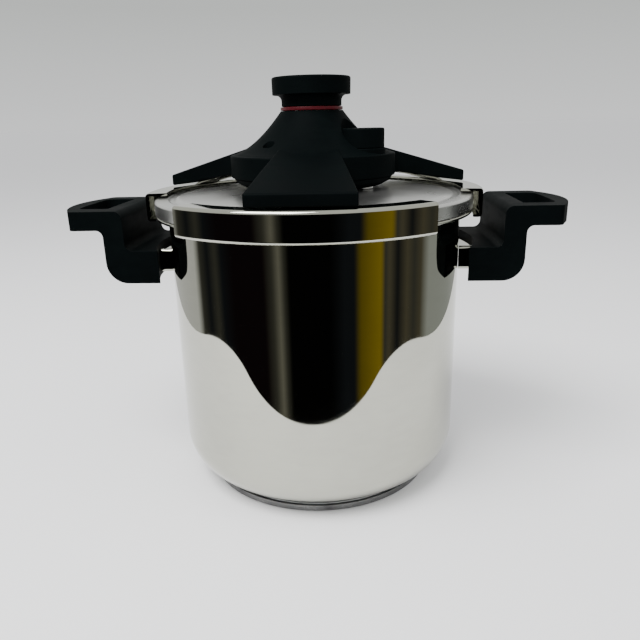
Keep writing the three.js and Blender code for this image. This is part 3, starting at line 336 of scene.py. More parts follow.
def lines_group():
    """Fine lines round the Z axis, from the distance to the axis and the height."""
    tree, given, result = new_group(
        "wheel_lines",
        {"Density": 3000.0, "Depth": 0.02},
        {"Normal": "NodeSocketVector", "Lines": "NodeSocketFloat"},
    )
    parts = add_node(tree, "ShaderNodeSeparateXYZ")
    link(tree, object_place(tree), parts.inputs[0])
    x, y, z = parts.outputs
    squares = number(tree, "MULTIPLY_ADD", x, x, number(tree, "MULTIPLY", y, y))
    distance = number(tree, "SQRT", squares)
    across = number(tree, "MULTIPLY", number(tree, "ADD", distance, z), given.outputs["Density"])
    around = number(tree, "MULTIPLY", number(tree, "ARCTAN2", y, x), 3.0)
    place = add_node(tree, "ShaderNodeCombineXYZ")
    link(tree, across, place.inputs[0])
    link(tree, number(tree, "COSINE", around), place.inputs[1])
    lines = noise(tree, place.outputs[0], 1.0, 2.0)
    bump = add_node(tree, "ShaderNodeBump")
    bump.inputs["Distance"].default_value = 0.0001
    link(tree, given.outputs["Depth"], bump.inputs["Strength"])
    link(tree, lines, bump.inputs["Height"])
    link(tree, bump.outputs[0], result.inputs["Normal"])
    link(tree, lines, result.inputs["Lines"])
    return tree


MARKS = marks_group()
GRAIN = grain_group()
LINES = lines_group()
print("groups:", ", ".join(group.name for group in (MARKS, GRAIN, LINES)))

# %% [markdown]
# ## Materials
#
# The steel is bare metal with a mirror polish: almost no roughness, faint wheel lines, and a few
# dull patches. Only the lid has a satin finish from a brushing wheel. The black parts are a
# heat-proof moulded plastic, nearly black with a cool green-blue cast, with a fine grain and a
# soft sheen on handled places. Each finish is made from a lighter and a darker colour, the
# roughness where it is clean and where it is marked, and the size and depth of its fine relief.

# %% Materials


def use_group(tree, group, **values):
    node = add_node(tree, "ShaderNodeGroup", node_tree=group)
    for label, value in values.items():
        node.inputs[label].default_value = value
    return node


def new_material(name, metallic=0.0):
    finish = bpy.data.materials.new(name)
    finish.use_nodes = True
    tree = finish.node_tree
    shader = tree.nodes["Principled BSDF"]
    shader.inputs["Metallic"].default_value = metallic
    return finish, tree, shader


def metal(name, light, dark, clean, marked, scale, density, depth):
    finish, tree, shader = new_material(name, metallic=1.0)
    marks = use_group(tree, MARKS, Clean=clean, Marked=marked, Scale=scale)
    lines = use_group(tree, LINES, Density=density, Depth=depth)
    tint = blend_colors(tree, marks.outputs["Mask"], light, dark)
    link(tree, tint, shader.inputs["Base Color"])
    link(tree, marks.outputs["Roughness"], shader.inputs["Roughness"])
    link(tree, lines.outputs["Normal"], shader.inputs["Normal"])
    return finish


def moulded(name, light, dark, clean, marked, grain_scale, depth, gloss):
    finish, tree, shader = new_material(name)
    shader.inputs["Specular IOR Level"].default_value = gloss
    marks = use_group(tree, MARKS, Clean=clean, Marked=marked, Scale=22.0)
    grain = use_group(tree, GRAIN, Scale=grain_scale, Depth=depth)
    share = number(tree, "MULTIPLY_ADD", grain.outputs["Height"], 0.6, marks.outputs["Mask"], clamp=True)
    link(tree, blend_colors(tree, share, dark, light), shader.inputs["Base Color"])
    link(tree, marks.outputs["Roughness"], shader.inputs["Roughness"])
    link(tree, grain.outputs["Normal"], shader.inputs["Normal"])
    return finish


POLISHED = metal(
    "polished_steel", (0.45, 0.45, 0.39), (0.41, 0.41, 0.355), 0.02, 0.055, 9.0, 1800.0, 0.01)
SATIN = metal(
    "satin_steel", (0.60, 0.60, 0.585), (0.55, 0.55, 0.535), 0.27, 0.33, 12.0, 2600.0, 0.06)
PLAIN_STEEL = metal(
    "plain_steel", (0.56, 0.56, 0.55), (0.46, 0.46, 0.455), 0.22, 0.36, 60.0, 4500.0, 0.25)
BASE_STEEL = metal(
    "base_steel", (0.20, 0.20, 0.20), (0.10, 0.10, 0.10), 0.25, 0.42, 40.0, 5000.0, 0.3)
ALUMINIUM = metal(
    "aluminium", (0.55, 0.56, 0.57), (0.44, 0.45, 0.46), 0.38, 0.5, 50.0, 3500.0, 0.3)
BLACK = moulded(
    "black_plastic", (0.0016, 0.0028, 0.0029), (0.0011, 0.0018, 0.0020), 0.52, 0.64, 2400.0, 0.10, 0.015)
RED = moulded(
    "red_plastic", (0.065, 0.0022, 0.006), (0.050, 0.0016, 0.0045), 0.34, 0.44, 2600.0, 0.05, 0.2)
SILICONE = moulded(
    "silicone", (0.66, 0.67, 0.66), (0.58, 0.59, 0.58), 0.5, 0.62, 1500.0, 0.1, 0.5)
NYLON = moulded(
    "nylon", (0.72, 0.69, 0.60), (0.66, 0.62, 0.54), 0.4, 0.5, 1800.0, 0.08, 0.5)
FINISHES = {
    "polished_steel": POLISHED,
    "plain_steel": PLAIN_STEEL,
    "base_steel": BASE_STEEL,
    "aluminium": ALUMINIUM,
    "black_plastic": BLACK,
    "red_plastic": RED,
    "silicone": SILICONE,
    "nylon": NYLON,
}
slot_of = {part["node"]: part["material_slot"] for part in frame["record"]["subparts"]}
for node_name, node_object in frame["nodes"].items():
    node_object.data.materials.clear()
    node_object.data.materials.append(FINISHES[slot_of[node_name]])
print("finishes:", ", ".join(FINISHES))

# %% [markdown]
# ## Tools for turned pieces
#
# Most of the cooker is round. A turned piece starts as a chain of vertices, its profile, and the
# spin operator carries it round the axis. Sharp corners give themselves away in a render, so a
# corner may carry a radius, and a short arc takes its place. Each finished piece also carries a
# weighted normal modifier, so large flat faces stay flat and only the small bevel faces bend.

# %% Turned pieces


def rounded(corners, steps=5, loop=False):
    """Turns (distance, height[, radius]) corners into points, with an arc for each radius."""
    points = []
    count = len(corners)
    for i, corner in enumerate(corners):
        here = Vector(corner[:2])
        radius = corner[2] if len(corner) > 2 else 0
        if radius == 0 or (not loop and i in (0, count - 1)):
            points.append(here)
            continue
        back = (Vector(corners[i - 1][:2]) - here).normalized()
        ahead = (Vector(corners[(i + 1) % count][:2]) - here).normalized()
        half = back.angle(ahead) / 2
        centre = here + (back + ahead).normalized() * (radius / math.sin(half))
        reach = radius / math.tan(half)
        first = here + back * reach - centre
        last = here + ahead * reach - centre
        turns = [first.slerp(last, step / steps) for step in range(steps + 1)]
        points += [centre + turn * radius for turn in turns]
    return points


def chain(bm, points, loop, place=(0, 0)):
    verts = [bm.verts.new((place[0] + point.x, place[1], point.y)) for point in points]
    pairs = list(zip(verts, verts[1:]))
    if loop:
        pairs.append((verts[-1], verts[0]))
    edges = [bm.edges.new(pair) for pair in pairs]
    return verts, edges


def turned(corners, place=(0, 0), loop=False, sides=96):
    """A closed bmesh turned about the vertical axis through place."""
    bm = bmesh.new()
    verts, edges = chain(bm, rounded(corners, loop=loop), loop, place)
    bmesh.ops.spin(
        bm, geom=verts + edges, cent=(*place, 0), axis=(0, 0, 1), angle=math.tau,
        steps=sides, use_merge=True,
    )
    bmesh.ops.remove_doubles(bm, verts=bm.verts, dist=1e-6)
    bmesh.ops.recalc_face_normals(bm, faces=bm.faces)
    return bm


def rod(radius, bottom, top, place=(0, 0), sides=64):
    return turned([(0, bottom), (radius, bottom), (radius, top), (0, top)], place, sides=sides)


def finish_piece(name, bm, body, slot, nodes, sharp=38, finish=None):
    """Makes the object with its finish, and says which body carries it and what it replaces."""
    mesh = bpy.data.meshes.new(name)
    bm.to_mesh(mesh)
    bm.free()
    mesh.materials.append(finish or FINISHES[slot])
    mesh.shade_smooth()
    mesh.set_sharp_from_angle(angle=math.radians(sharp))
    piece = bpy.data.objects.new(name, mesh)
    scene.collection.objects.link(piece)
    shading = piece.modifiers.new("even_shading", "WEIGHTED_NORMAL")
    shading.keep_sharp = True
    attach(piece, body)
    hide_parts(*nodes)
    print(f"{name}: {len(mesh.polygons)} faces")
    return piece


def turn_points(bm, angle):
    bmesh.ops.rotate(bm, verts=bm.verts, cent=(0, 0, 0), matrix=Matrix.Rotation(angle, 3, "Z"))


def to_object(bm, name):
    mesh = bpy.data.meshes.new(name)
    bm.to_mesh(mesh)
    bm.free()
    helper = bpy.data.objects.new(name, mesh)
    scene.collection.objects.link(helper)
    return helper


def combine(bm, cutters, operation="DIFFERENCE"):
    """Joins or cuts a bmesh with others, and gives back the result as a bmesh."""
    base = to_object(bm, "base_shape")
    helpers = [to_object(cutter, "cutter") for cutter in cutters]
    for helper in helpers:
        step = base.modifiers.new("step", "BOOLEAN")
        step.operation = operation
        step.solver = "EXACT"
        step.object = helper
    depsgraph = bpy.context.evaluated_depsgraph_get()
    result = bmesh.new()
    result.from_object(base, depsgraph)
    for spare in [base, *helpers]:
        bpy.data.objects.remove(spare, do_unlink=True)
    bmesh.ops.remove_doubles(result, verts=result.verts, dist=1e-6)
    return result


# %% [markdown]
# ## Pot
#
# The pot is drawn from one sheet of steel. The wall is straight, the bottom corner is generous,
# and the rim is turned out flat to carry the lid's ring. A mirror finish shows every kink, so the
# bottom corner is a true arc with many steps.

# %% Pot
rim_low, rim_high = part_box("pot_body")
RIM = rim_high.x
RIM_TOP = rim_high.z
POT_BOTTOM = rim_low.z
WALL = RIM - 9 * MM
SHEET = 1.2 * MM
CORNER = 32 * MM
RIM_DEPTH = 2.5 * MM


def arc(centre, radius, start, end, steps):
    """Points on an arc from one angle to the other, in degrees, without a radius of their own."""
    angles = [math.radians(start + (end - start) * i / steps) for i in range(steps + 1)]
    return [(centre[0] + radius * math.cos(a), centre[1] + radius * math.sin(a)) for a in angles]


corner_centre = (WALL - CORNER, POT_BOTTOM + CORNER)
pot = turned([
    (0, POT_BOTTOM),
    *arc(corner_centre, CORNER, -90, 0, 28),
    (WALL, RIM_TOP - RIM_DEPTH, 1.6 * MM),
    (RIM, RIM_TOP - RIM_DEPTH, 1.1 * MM),
    (RIM, RIM_TOP, 1.1 * MM),
    (WALL - SHEET, RIM_TOP, 1.4 * MM),
    *arc(corner_centre, CORNER - SHEET, 0, -90, 20),
    (0, POT_BOTTOM + SHEET),
], sides=192)
finish_piece("drawn_pot", pot, "pot", "polished_steel", ["pot_body"])

# %% [markdown]
# ## Base
#
# The base spreads the heat: an aluminium plate in a steel cap. From the side only a dark edge and
# a thin groove show, and the groove is left by making the plate a little smaller than the cap.

# %% Base
cap_low, cap_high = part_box("base_cap")
core_low, core_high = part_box("base_core")
CAP_SIDE = 1.1 * MM
CAP_BOTTOM = 1.2 * MM
CORE_INSET = 0.6 * MM
cap = turned([
    (0, cap_low.z),
    (cap_high.x, cap_low.z, 1.4 * MM),
    (cap_high.x, cap_high.z, 0.4 * MM),
    (cap_high.x - CAP_SIDE, cap_high.z, 0.3 * MM),
    (cap_high.x - CAP_SIDE, cap_low.z + CAP_BOTTOM),
    (0, cap_low.z + CAP_BOTTOM),
], sides=160)
finish_piece("base_steel_cap", cap, "pot", "base_steel", ["base_cap"])
core = turned([
    (0, core_low.z),
    (core_high.x - CORE_INSET, core_low.z, 0.4 * MM),
    (core_high.x - CORE_INSET, core_high.z, 0.5 * MM),
    (0, core_high.z),
], sides=160)
finish_piece("base_heat_plate", core, "pot", "aluminium", ["base_core"])

# %% [markdown]
# ## Handles
#
# A handle is one moulding in the shape of a step: a foot that takes the bracket, an upright, and
# a flat grip with an opening for the fingers. It is box-modelled. A grid is the grip seen from
# above, its middle faces are left out for the opening, and extrusion adds the thickness, the
# upright and the foot. Moving the end rows bends the tip and lets the foot follow the pot.
# Bevels come last, the large ones first; one on an inward corner makes a fillet.

# %% Handles
hand_low, hand_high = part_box("handle_right")
GRIP_DEPTH = 14 * MM
GRIP_UNDERSIDE = hand_high.z - GRIP_DEPTH
FOOT_TOP = hand_high.z - 29.5 * MM
UPRIGHT_INNER = WALL + 26 * MM
UPRIGHT_OUTER = WALL + 41.7 * MM
OPENING_OUTER = WALL + 64.5 * MM
OPENING_HALF = 30 * MM
HALF_WIDTH = hand_high.y
TIP = hand_high.x
TIP_CORNER = WALL + 66 * MM
FOOT_RADIUS = WALL + 10.7 * MM
ROWS = [UPRIGHT_INNER, UPRIGHT_OUTER, OPENING_OUTER, TIP]
HALF_COLUMNS = [10 * MM, 20 * MM, OPENING_HALF, HALF_WIDTH]
COLUMNS = [-y for y in reversed(HALF_COLUMNS)] + [0] + HALF_COLUMNS


def nearest(value, stops):
    return min(range(len(stops)), key=lambda i: abs(stops[i] - value))


def near(value, target):
    return abs(value - target) < 0.2 * MM


def extrude_faces(bm, faces, offset=(0, 0, 0)):
    grown = bmesh.ops.extrude_face_region(bm, geom=faces)["geom"]
    verts = [item for item in grown if isinstance(item, bmesh.types.BMVert)]
    bmesh.ops.translate(bm, verts=verts, vec=offset)
    bmesh.ops.delete(bm, geom=[face for face in faces if face.is_valid], context="FACES_ONLY")
    return verts


def bevel_where(bm, test, offset, segments):
    edges = [edge for edge in bm.edges if test(edge)]
    bmesh.ops.bevel(
        bm, geom=edges, offset=offset, segments=segments, profile=0.5, affect="EDGES",
        material=-1, clamp_overlap=True,
    )


def handle_cage():
    bm = bmesh.new()
    bmesh.ops.create_grid(bm, x_segments=3, y_segments=len(COLUMNS) - 1, size=0.5)
    x_stops = sorted({round(vert.co.x, 6) for vert in bm.verts})
    y_stops = sorted({round(vert.co.y, 6) for vert in bm.verts})
    for vert in bm.verts:
        vert.co.x = ROWS[nearest(vert.co.x, x_stops)]
        vert.co.y = COLUMNS[nearest(vert.co.y, y_stops)]
    bmesh.ops.translate(bm, verts=bm.verts, vec=(0, 0, GRIP_UNDERSIDE))
    opening = [
        face for face in bm.faces
        if UPRIGHT_OUTER < face.calc_center_median().x < OPENING_OUTER
        and abs(face.calc_center_median().y) < OPENING_HALF
    ]
    bmesh.ops.delete(bm, geom=opening, context="FACES_ONLY")
    bmesh.ops.solidify(bm, geom=bm.faces[:], thickness=GRIP_DEPTH)
    low = min(vert.co.z for vert in bm.verts)
    for vert in bm.verts:
        vert.co.z = GRIP_UNDERSIDE if vert.co.z < low + GRIP_DEPTH / 2 else hand_high.z
    bmesh.ops.recalc_face_normals(bm, faces=bm.faces)
    return bm


def is_underside(face, height):
    centre = face.calc_center_median()
    return near(centre.z, height) and centre.x < UPRIGHT_OUTER and abs(face.normal.z) > 0.9


def handle_form():
    bm = handle_cage()
    for height, step in ((GRIP_UNDERSIDE, FOOT_TOP - GRIP_UNDERSIDE), (FOOT_TOP, hand_low.z - FOOT_TOP)):
        bm.faces.ensure_lookup_table()
        extrude_faces(bm, [face for face in bm.faces if is_underside(face, height)], (0, 0, step))
        bmesh.ops.recalc_face_normals(bm, faces=bm.faces)
    inward = [
        face for face in bm.faces
        if near(face.calc_center_median().x, UPRIGHT_INNER) and face.calc_center_median().z < FOOT_TOP
        and abs(face.normal.x) > 0.9
    ]
    for vert in extrude_faces(bm, inward):
        vert.co.x = math.sqrt(FOOT_RADIUS ** 2 - vert.co.y ** 2)
    bmesh.ops.recalc_face_normals(bm, faces=bm.faces)
    for vert in bm.verts:
        bow = 1 - (vert.co.y / HALF_WIDTH) ** 2
        if near(vert.co.x, TIP):
            vert.co.x = TIP_CORNER + (TIP - TIP_CORNER) * bow - 0.2 * MM
        elif near(vert.co.x, OPENING_OUTER):
            vert.co.x += 2.5 * MM * bow - 1 * MM
    return bm


def is_spare(edge):
    """Edges that only divide a flat side, or the flat bottom across."""
    if len(edge.link_faces) != 2 or edge.calc_face_angle(0) > 0.01:
        return False
    in_side = all(abs(face.normal.y) > 0.99 for face in edge.link_faces)
    in_bottom = all(near(vert.co.z, hand_low.z) for vert in edge.verts)
    return in_side or (in_bottom and near(edge.verts[0].co.x, edge.verts[1].co.x))


def is_upright(edge):
    first, second = edge.verts
    return (first.co.xy - second.co.xy).length < 0.1 * MM and abs(first.co.z - second.co.z) > 1 * MM


def is_opening_corner(edge):
    middle = (edge.verts[0].co + edge.verts[1].co) / 2
    in_opening = UPRIGHT_OUTER - 1 * MM < middle.x < OPENING_OUTER + 3 * MM
    return is_upright(edge) and near(abs(middle.y), OPENING_HALF) and in_opening and (
        GRIP_UNDERSIDE < middle.z < hand_high.z
    )


def is_tip_corner(edge):
    middle = (edge.verts[0].co + edge.verts[1].co) / 2
    return is_upright(edge) and near(abs(middle.y), HALF_WIDTH) and middle.x > TIP_CORNER - 3 * MM


def crosses_at(x, z):
    """A test for the edges that run across the handle at one place of its side view."""
    return lambda edge: all(near(vert.co.x, x) and near(vert.co.z, z) for vert in edge.verts)


def is_sharp(edge):
    return len(edge.link_faces) == 2 and edge.calc_face_angle(0) > math.radians(32)


def moulded_handle(side, angle):
    bm = handle_form()
    bmesh.ops.dissolve_edges(bm, edges=[edge for edge in bm.edges if is_spare(edge)], use_verts=True)
    bevel_where(bm, crosses_at(UPRIGHT_OUTER, hand_low.z), 17 * MM, 10)
    bevel_where(bm, crosses_at(UPRIGHT_INNER, hand_high.z), 6 * MM, 6)
    bevel_where(bm, crosses_at(UPRIGHT_INNER, FOOT_TOP), 5.5 * MM, 6)
    bevel_where(bm, crosses_at(UPRIGHT_OUTER, GRIP_UNDERSIDE), 5 * MM, 6)
    bevel_where(bm, is_opening_corner, 6 * MM, 6)
    bevel_where(bm, is_tip_corner, 8 * MM, 6)
    bevel_where(bm, is_sharp, 2.2 * MM, 4)
    bmesh.ops.recalc_face_normals(bm, faces=bm.faces)
    turn_points(bm, angle)
    finish_piece(f"{side}_grip", bm, "pot", "black_plastic", [f"handle_{side}"], sharp=45)


for side, angle in (("right", 0.0), ("left", math.pi)):
    moulded_handle(side, angle)

# %% [markdown]
# ## Handle brackets and screws
#
# A bracket is a short steel sleeve welded to the wall, pressed from sheet, so its long edges are
# rolled over. The screw that holds the handle has a domed head with a six-sided socket.

# %% Brackets and screws


def block(low, high):
    bm = bmesh.new()
    bmesh.ops.create_cube(bm, size=1)
    size = Vector(high) - Vector(low)
    bmesh.ops.scale(bm, verts=bm.verts, vec=size)
    bmesh.ops.translate(bm, verts=bm.verts, vec=(Vector(high) + Vector(low)) / 2)
    return bm


def lengthwise(edge):
    step = edge.verts[1].co - edge.verts[0].co
    return abs(step.x) > 5 * MM and abs(step.y) < 0.1 * MM and abs(step.z) < 0.1 * MM


def hex_prism(radius, bottom, top):
    bm = bmesh.new()
    bmesh.ops.create_cone(
        bm, cap_ends=True, segments=6, radius1=radius, radius2=radius, depth=top - bottom,
    )
    bmesh.ops.translate(bm, verts=bm.verts, vec=(0, 0, (top + bottom) / 2))
    return bm


def lay_along_x(bm, height, angle):
    bmesh.ops.rotate(bm, verts=bm.verts, cent=(0, 0, 0), matrix=Matrix.Rotation(math.pi / 2, 3, "Y"))
    bmesh.ops.translate(bm, verts=bm.verts, vec=(0, 0, height))
    turn_points(bm, angle)


bracket_low, bracket_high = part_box("handle_bracket_right")
screw_low, screw_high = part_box("handle_screw_right")
SCREW_HEIGHT = (screw_low.z + screw_high.z) / 2
SHANK = 2.5 * MM
HEAD_DEPTH = 2.8 * MM
SOCKET = 1.8 * MM
WELD_GAP = 0.3 * MM
for side, angle in (("right", 0.0), ("left", math.pi)):
    inner_x = math.sqrt((WALL + 0.35 * MM) ** 2 - bracket_high.y ** 2)
    sleeve = block((inner_x, bracket_low.y, bracket_low.z), bracket_high)
    bevel_where(sleeve, lengthwise, 2.4 * MM, 5)
    sleeve = combine(sleeve, [rod(WALL + WELD_GAP, 0.1, 0.2, sides=192)])
    turn_points(sleeve, angle)
    finish_piece(f"{side}_sleeve", sleeve, "pot", "polished_steel", [f"handle_bracket_{side}"])
    screw = turned([
        (0, screw_low.x),
        (SHANK, screw_low.x, 0.4 * MM),
        (SHANK, screw_high.x - HEAD_DEPTH),
        (screw_high.y, screw_high.x - HEAD_DEPTH, 0.2 * MM),
        (screw_high.y, screw_high.x - 0.9 * MM, 0.6 * MM),
        (3.4 * MM, screw_high.x, 0.4 * MM),
        (0, screw_high.x),
    ], sides=48)
    screw = combine(screw, [hex_prism(SOCKET, screw_high.x - SOCKET, screw_high.x + 1 * MM)])
    lay_along_x(screw, SCREW_HEIGHT, angle)
    finish_piece(f"{side}_handle_bolt", screw, "pot", "plain_steel", [f"handle_screw_{side}"])

# %% [markdown]
# ## Lid
#
# The lid is pressed: a flat middle for the hub, a shallow dome, a groove that stiffens it, a flat
# edge, and a skirt that centres it in the pot. One turned profile holds both its faces.

# %% Lid
lid_low, lid_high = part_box("lid_shell")
CROWN = lid_high.z
LID_EDGE = CROWN - 4.7 * MM
FLAT = 54 * MM
SKIRT = WALL - SHEET - 0.5 * MM
EDGE_BOTTOM = lid_low.z + 8.6 * MM
GROOVE = LID_EDGE - 0.9 * MM


def dome(drop):
    """The dome from the flat middle to the groove: a parabola that starts level."""
    start, end = FLAT, WALL - 8 * MM
    fall = CROWN - LID_EDGE - 0.5 * MM
    shares = [i / 16 for i in range(17)]
    return [(start + (end - start) * s, CROWN - drop - fall * s ** 2.2) for s in shares]


lid = turned([
    (0, CROWN),
    *dome(0),
    (WALL - 5.5 * MM, GROOVE, 2.0 * MM),
    (WALL - 2.5 * MM, GROOVE, 1.2 * MM),
    (WALL - 0.6 * MM, LID_EDGE, 1.0 * MM),
    (RIM, LID_EDGE, 2.0 * MM),
    (RIM, EDGE_BOTTOM, 0.35 * MM),
    (RIM - SHEET, EDGE_BOTTOM, 0.35 * MM),
    (RIM - SHEET, LID_EDGE - 2.2 * MM, 0.8 * MM),
    (SKIRT, LID_EDGE - 2.2 * MM, 0.8 * MM),
    (SKIRT, lid_low.z, 0.4 * MM),
    (SKIRT - SHEET, lid_low.z, 0.4 * MM),
    (SKIRT - SHEET, LID_EDGE - 2.6 * MM, 1.0 * MM),
    *reversed(dome(SHEET)),
    (0, CROWN - SHEET),
], sides=192)
finish_piece("pressed_lid", lid, "lid", "polished_steel", ["lid_shell"], finish=SATIN)

# %% [markdown]
# ## Silicone ring
#
# The sealing ring lies under the lid's edge. It has two lips, which the pressure presses apart,
# so its profile is a closed U with soft corners.

# %% Silicone ring
ring_low, ring_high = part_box("lid_gasket")
inner = SKIRT + 1.8 * MM
outer = ring_high.x
LIP_WIDTH = 2.5 * MM
LIP_DEPTH = 2.7 * MM
seal = turned([
    (inner, ring_low.z, 0.7 * MM),
    (inner + LIP_WIDTH, ring_low.z, 0.7 * MM),
    (inner + LIP_WIDTH, ring_low.z + LIP_DEPTH, 0.6 * MM),
    (outer - LIP_WIDTH, ring_low.z + LIP_DEPTH, 0.6 * MM),
    (outer - LIP_WIDTH, ring_low.z, 0.7 * MM),
    (outer, ring_low.z, 0.7 * MM),
    (outer, ring_high.z, 0.8 * MM),
    (inner, ring_high.z, 0.8 * MM),
], loop=True, sides=160)
finish_piece("sealing_ring", seal, "lid", "silicone", ["lid_gasket"])

# %% [markdown]
# ## Jaws
#
# Each jaw is a strip of polished steel rolled into a C round a quarter of the rim. Its profile is
# filled with a face, and the spin carries that face through the jaw's own angle only, so both
# ends stay closed. A tongue rises from the top flange and runs in under the arm.

# %% Jaws
front_low, front_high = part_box("jaw_front")
JAW_RADIUS = -front_low.y
JAW_BOTTOM = front_low.z
JAW_TOP = LID_EDGE + 3.7 * MM
JAW_SHEET = 2.0 * MM
HALF_SPAN = math.radians(41.3)
LIP = RIM + 0.4 * MM
FLANGE = JAW_RADIUS - 16 * MM
TONGUE_HALF = 12 * MM
HUB = 62.6 * MM
TONGUE_BOTTOM = front_high.z - JAW_SHEET
DIRECTIONS = {"front": -math.pi / 2, "right": math.pi / 6, "left": 5 * math.pi / 6}


def jaw_channel():
    wall = JAW_RADIUS - JAW_SHEET
    profile = rounded([
        (LIP, JAW_BOTTOM + JAW_SHEET, 0.5 * MM),
        (LIP, JAW_BOTTOM, 0.8 * MM),
        (JAW_RADIUS, JAW_BOTTOM, 2.6 * MM),
        (JAW_RADIUS, JAW_TOP, 2.4 * MM),
        (FLANGE, JAW_TOP, 0.6 * MM),
        (FLANGE, JAW_TOP - JAW_SHEET, 0.6 * MM),
        (wall, JAW_TOP - JAW_SHEET, 0.8 * MM),
        (wall, JAW_BOTTOM + JAW_SHEET, 0.8 * MM),
    ], steps=6, loop=True)
    bm = bmesh.new()
    verts, edges = chain(bm, profile, True)
    start_face = bmesh.ops.contextual_create(bm, geom=edges)["faces"][0]
    turn_points(bm, -HALF_SPAN)
    bmesh.ops.spin(
        bm, geom=[start_face], cent=(0, 0, 0), axis=(0, 0, 1), angle=2 * HALF_SPAN, steps=96,
    )
    bmesh.ops.remove_doubles(bm, verts=bm.verts, dist=1e-7)
    bmesh.ops.recalc_face_normals(bm, faces=bm.faces)
    return bm


def jaw_tongue():
    """A flat bar in side view, widened both ways; it bends twice on its way to the hub."""
    foot = FLANGE + 1.5 * MM
    bend = HUB + 1.4 * MM
    inner_end = 17 * MM
    profile = rounded([
        (inner_end, TONGUE_BOTTOM),
        (bend, TONGUE_BOTTOM, 4 * MM),
        (foot - 6 * MM, JAW_TOP + 1 * MM, 3 * MM),
        (foot, JAW_TOP - JAW_SHEET, 0),
        (foot + 2 * MM, JAW_TOP - JAW_SHEET, 0),
        (foot + 2 * MM, JAW_TOP - 0.3 * MM, 0.8 * MM),
        (foot - 5.4 * MM, JAW_TOP + 3 * MM, 3 * MM),
        (bend + 0.4 * MM, front_high.z, 6 * MM),
        (inner_end, front_high.z),
    ], steps=6, loop=False)
    bm = bmesh.new()
    verts, edges = chain(bm, profile, True)
    face = bmesh.ops.contextual_create(bm, geom=edges)["faces"][0]
    bmesh.ops.translate(bm, verts=verts, vec=(0, -TONGUE_HALF, 0))
    grown = bmesh.ops.extrude_face_region(bm, geom=[face])["geom"]
    far = [item for item in grown if isinstance(item, bmesh.types.BMVert)]
    bmesh.ops.translate(bm, verts=far, vec=(0, 2 * TONGUE_HALF, 0))
    bmesh.ops.recalc_face_normals(bm, faces=bm.faces)
    bevel_where(bm, lambda edge: len(edge.link_faces) == 2 and edge.calc_face_angle(0) > 1.2, 0.3 * MM, 2)
    return bm


for side, angle in DIRECTIONS.items():
    jaw = combine(jaw_channel(), [jaw_tongue()], "UNION")
    turn_points(jaw, angle)
    finish_piece(f"{side}_clamp", jaw, f"{side}_jaw", "polished_steel", [f"jaw_{side}"], sharp=40)

# %% [markdown]
# ## Hub cover
#
# The cover is the cooker's landmark: a trumpet-shaped tower on a round disc, with three arms that
# widen towards the jaws. It is one hollow moulding. The tower is turned from a Bezier profile, an
# arm is a wedge with softened edges, and booleans join them and then take out the inside, the
# selector's seat and the indicator's slot.

# %% Hub cover
cover_low, cover_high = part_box("hub_cover")
COVER_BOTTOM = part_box("hub_base")[1].z + 0.3 * MM
DISC_TOP = COVER_BOTTOM + 16 * MM
TOWER_TOP = cover_high.z
TOWER_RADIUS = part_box("red_ring")[1].x
COVER_WALL = 3 * MM
ARM_END = -cover_low.y
ARM_END_BOTTOM = JAW_TOP + 0.7 * MM
ARM_END_TOP = ARM_END_BOTTOM + 8.5 * MM
SHAFT_HOLE = 13.6 * MM
VALVE_ANGLE = math.radians(-30)
VALVE = 44 * MM * Vector((math.cos(VALVE_ANGLE), math.sin(VALVE_ANGLE)))
INDICATOR_ANGLE = math.radians(-130)
INDICATOR = 45 * MM * Vector((math.cos(INDICATOR_ANGLE), math.sin(INDICATOR_ANGLE)))
SELECTOR_RADIUS = 15.4 * MM
COLLAR_TOP = DISC_TOP + 4 * MM
ARM_START = 27 * MM
ARM_ROOT_HALF = 18 * MM
ARM_END_HALF = 35 * MM


def bezier(points, steps):
    """A cubic curve through its first and last point, as (distance, height) pairs."""
    shares = [i / steps for i in range(steps + 1)]
    weights = [((1 - s) ** 3, 3 * s * (1 - s) ** 2, 3 * s * s * (1 - s), s ** 3) for s in shares]
    return [tuple(sum(w * p[axis] for w, p in zip(row, points)) for axis in (0, 1)) for row in weights]


def tower_profile(inset, steps):
    return bezier([
        (HUB - inset, DISC_TOP - inset),
        (HUB * 0.735 - inset, DISC_TOP + 2 * MM - inset),
        (TOWER_RADIUS + 6.7 * MM - inset, TOWER_TOP - 8.7 * MM - inset),
        (TOWER_RADIUS - 0.8 * inset, TOWER_TOP - 2 * inset),
    ], steps)


def arm_wedge(inset):
    """An arm on +X: eight corners of a cube are moved to the wedge, whose edges may be softened."""
    slope = (DISC_TOP - 0.3 * MM - ARM_END_TOP) / (ARM_END - HUB)
    start, end = ARM_START, ARM_END - inset
    deeper = 5 * MM if inset else 0
    root_half, end_half = ARM_ROOT_HALF - inset, ARM_END_HALF - inset
    end_top = ARM_END_TOP - inset + slope * inset
    bm = bmesh.new()
    bmesh.ops.create_cube(bm, size=2)
    for vert in bm.verts:
        outward, side, top = (value > 0 for value in vert.co)
        half = end_half if outward else root_half
        high = end_top if outward else end_top + slope * (end - start)
        low = ARM_END_BOTTOM if outward else COVER_BOTTOM + 6 * MM
        vert.co.x = end if outward else start
        vert.co.y = half if side else -half
        vert.co.z = high if top else low - deeper
    if not inset:
        bevel_where(bm, lambda edge: max(v.co.x for v in edge.verts) > end - 1 * MM, 1.3 * MM, 4)
    return bm


def arm_wedges(inset):
    wedges = []
    for angle in DIRECTIONS.values():
        wedge = arm_wedge(inset)
        turn_points(wedge, angle)
        wedges.append(wedge)
    return wedges


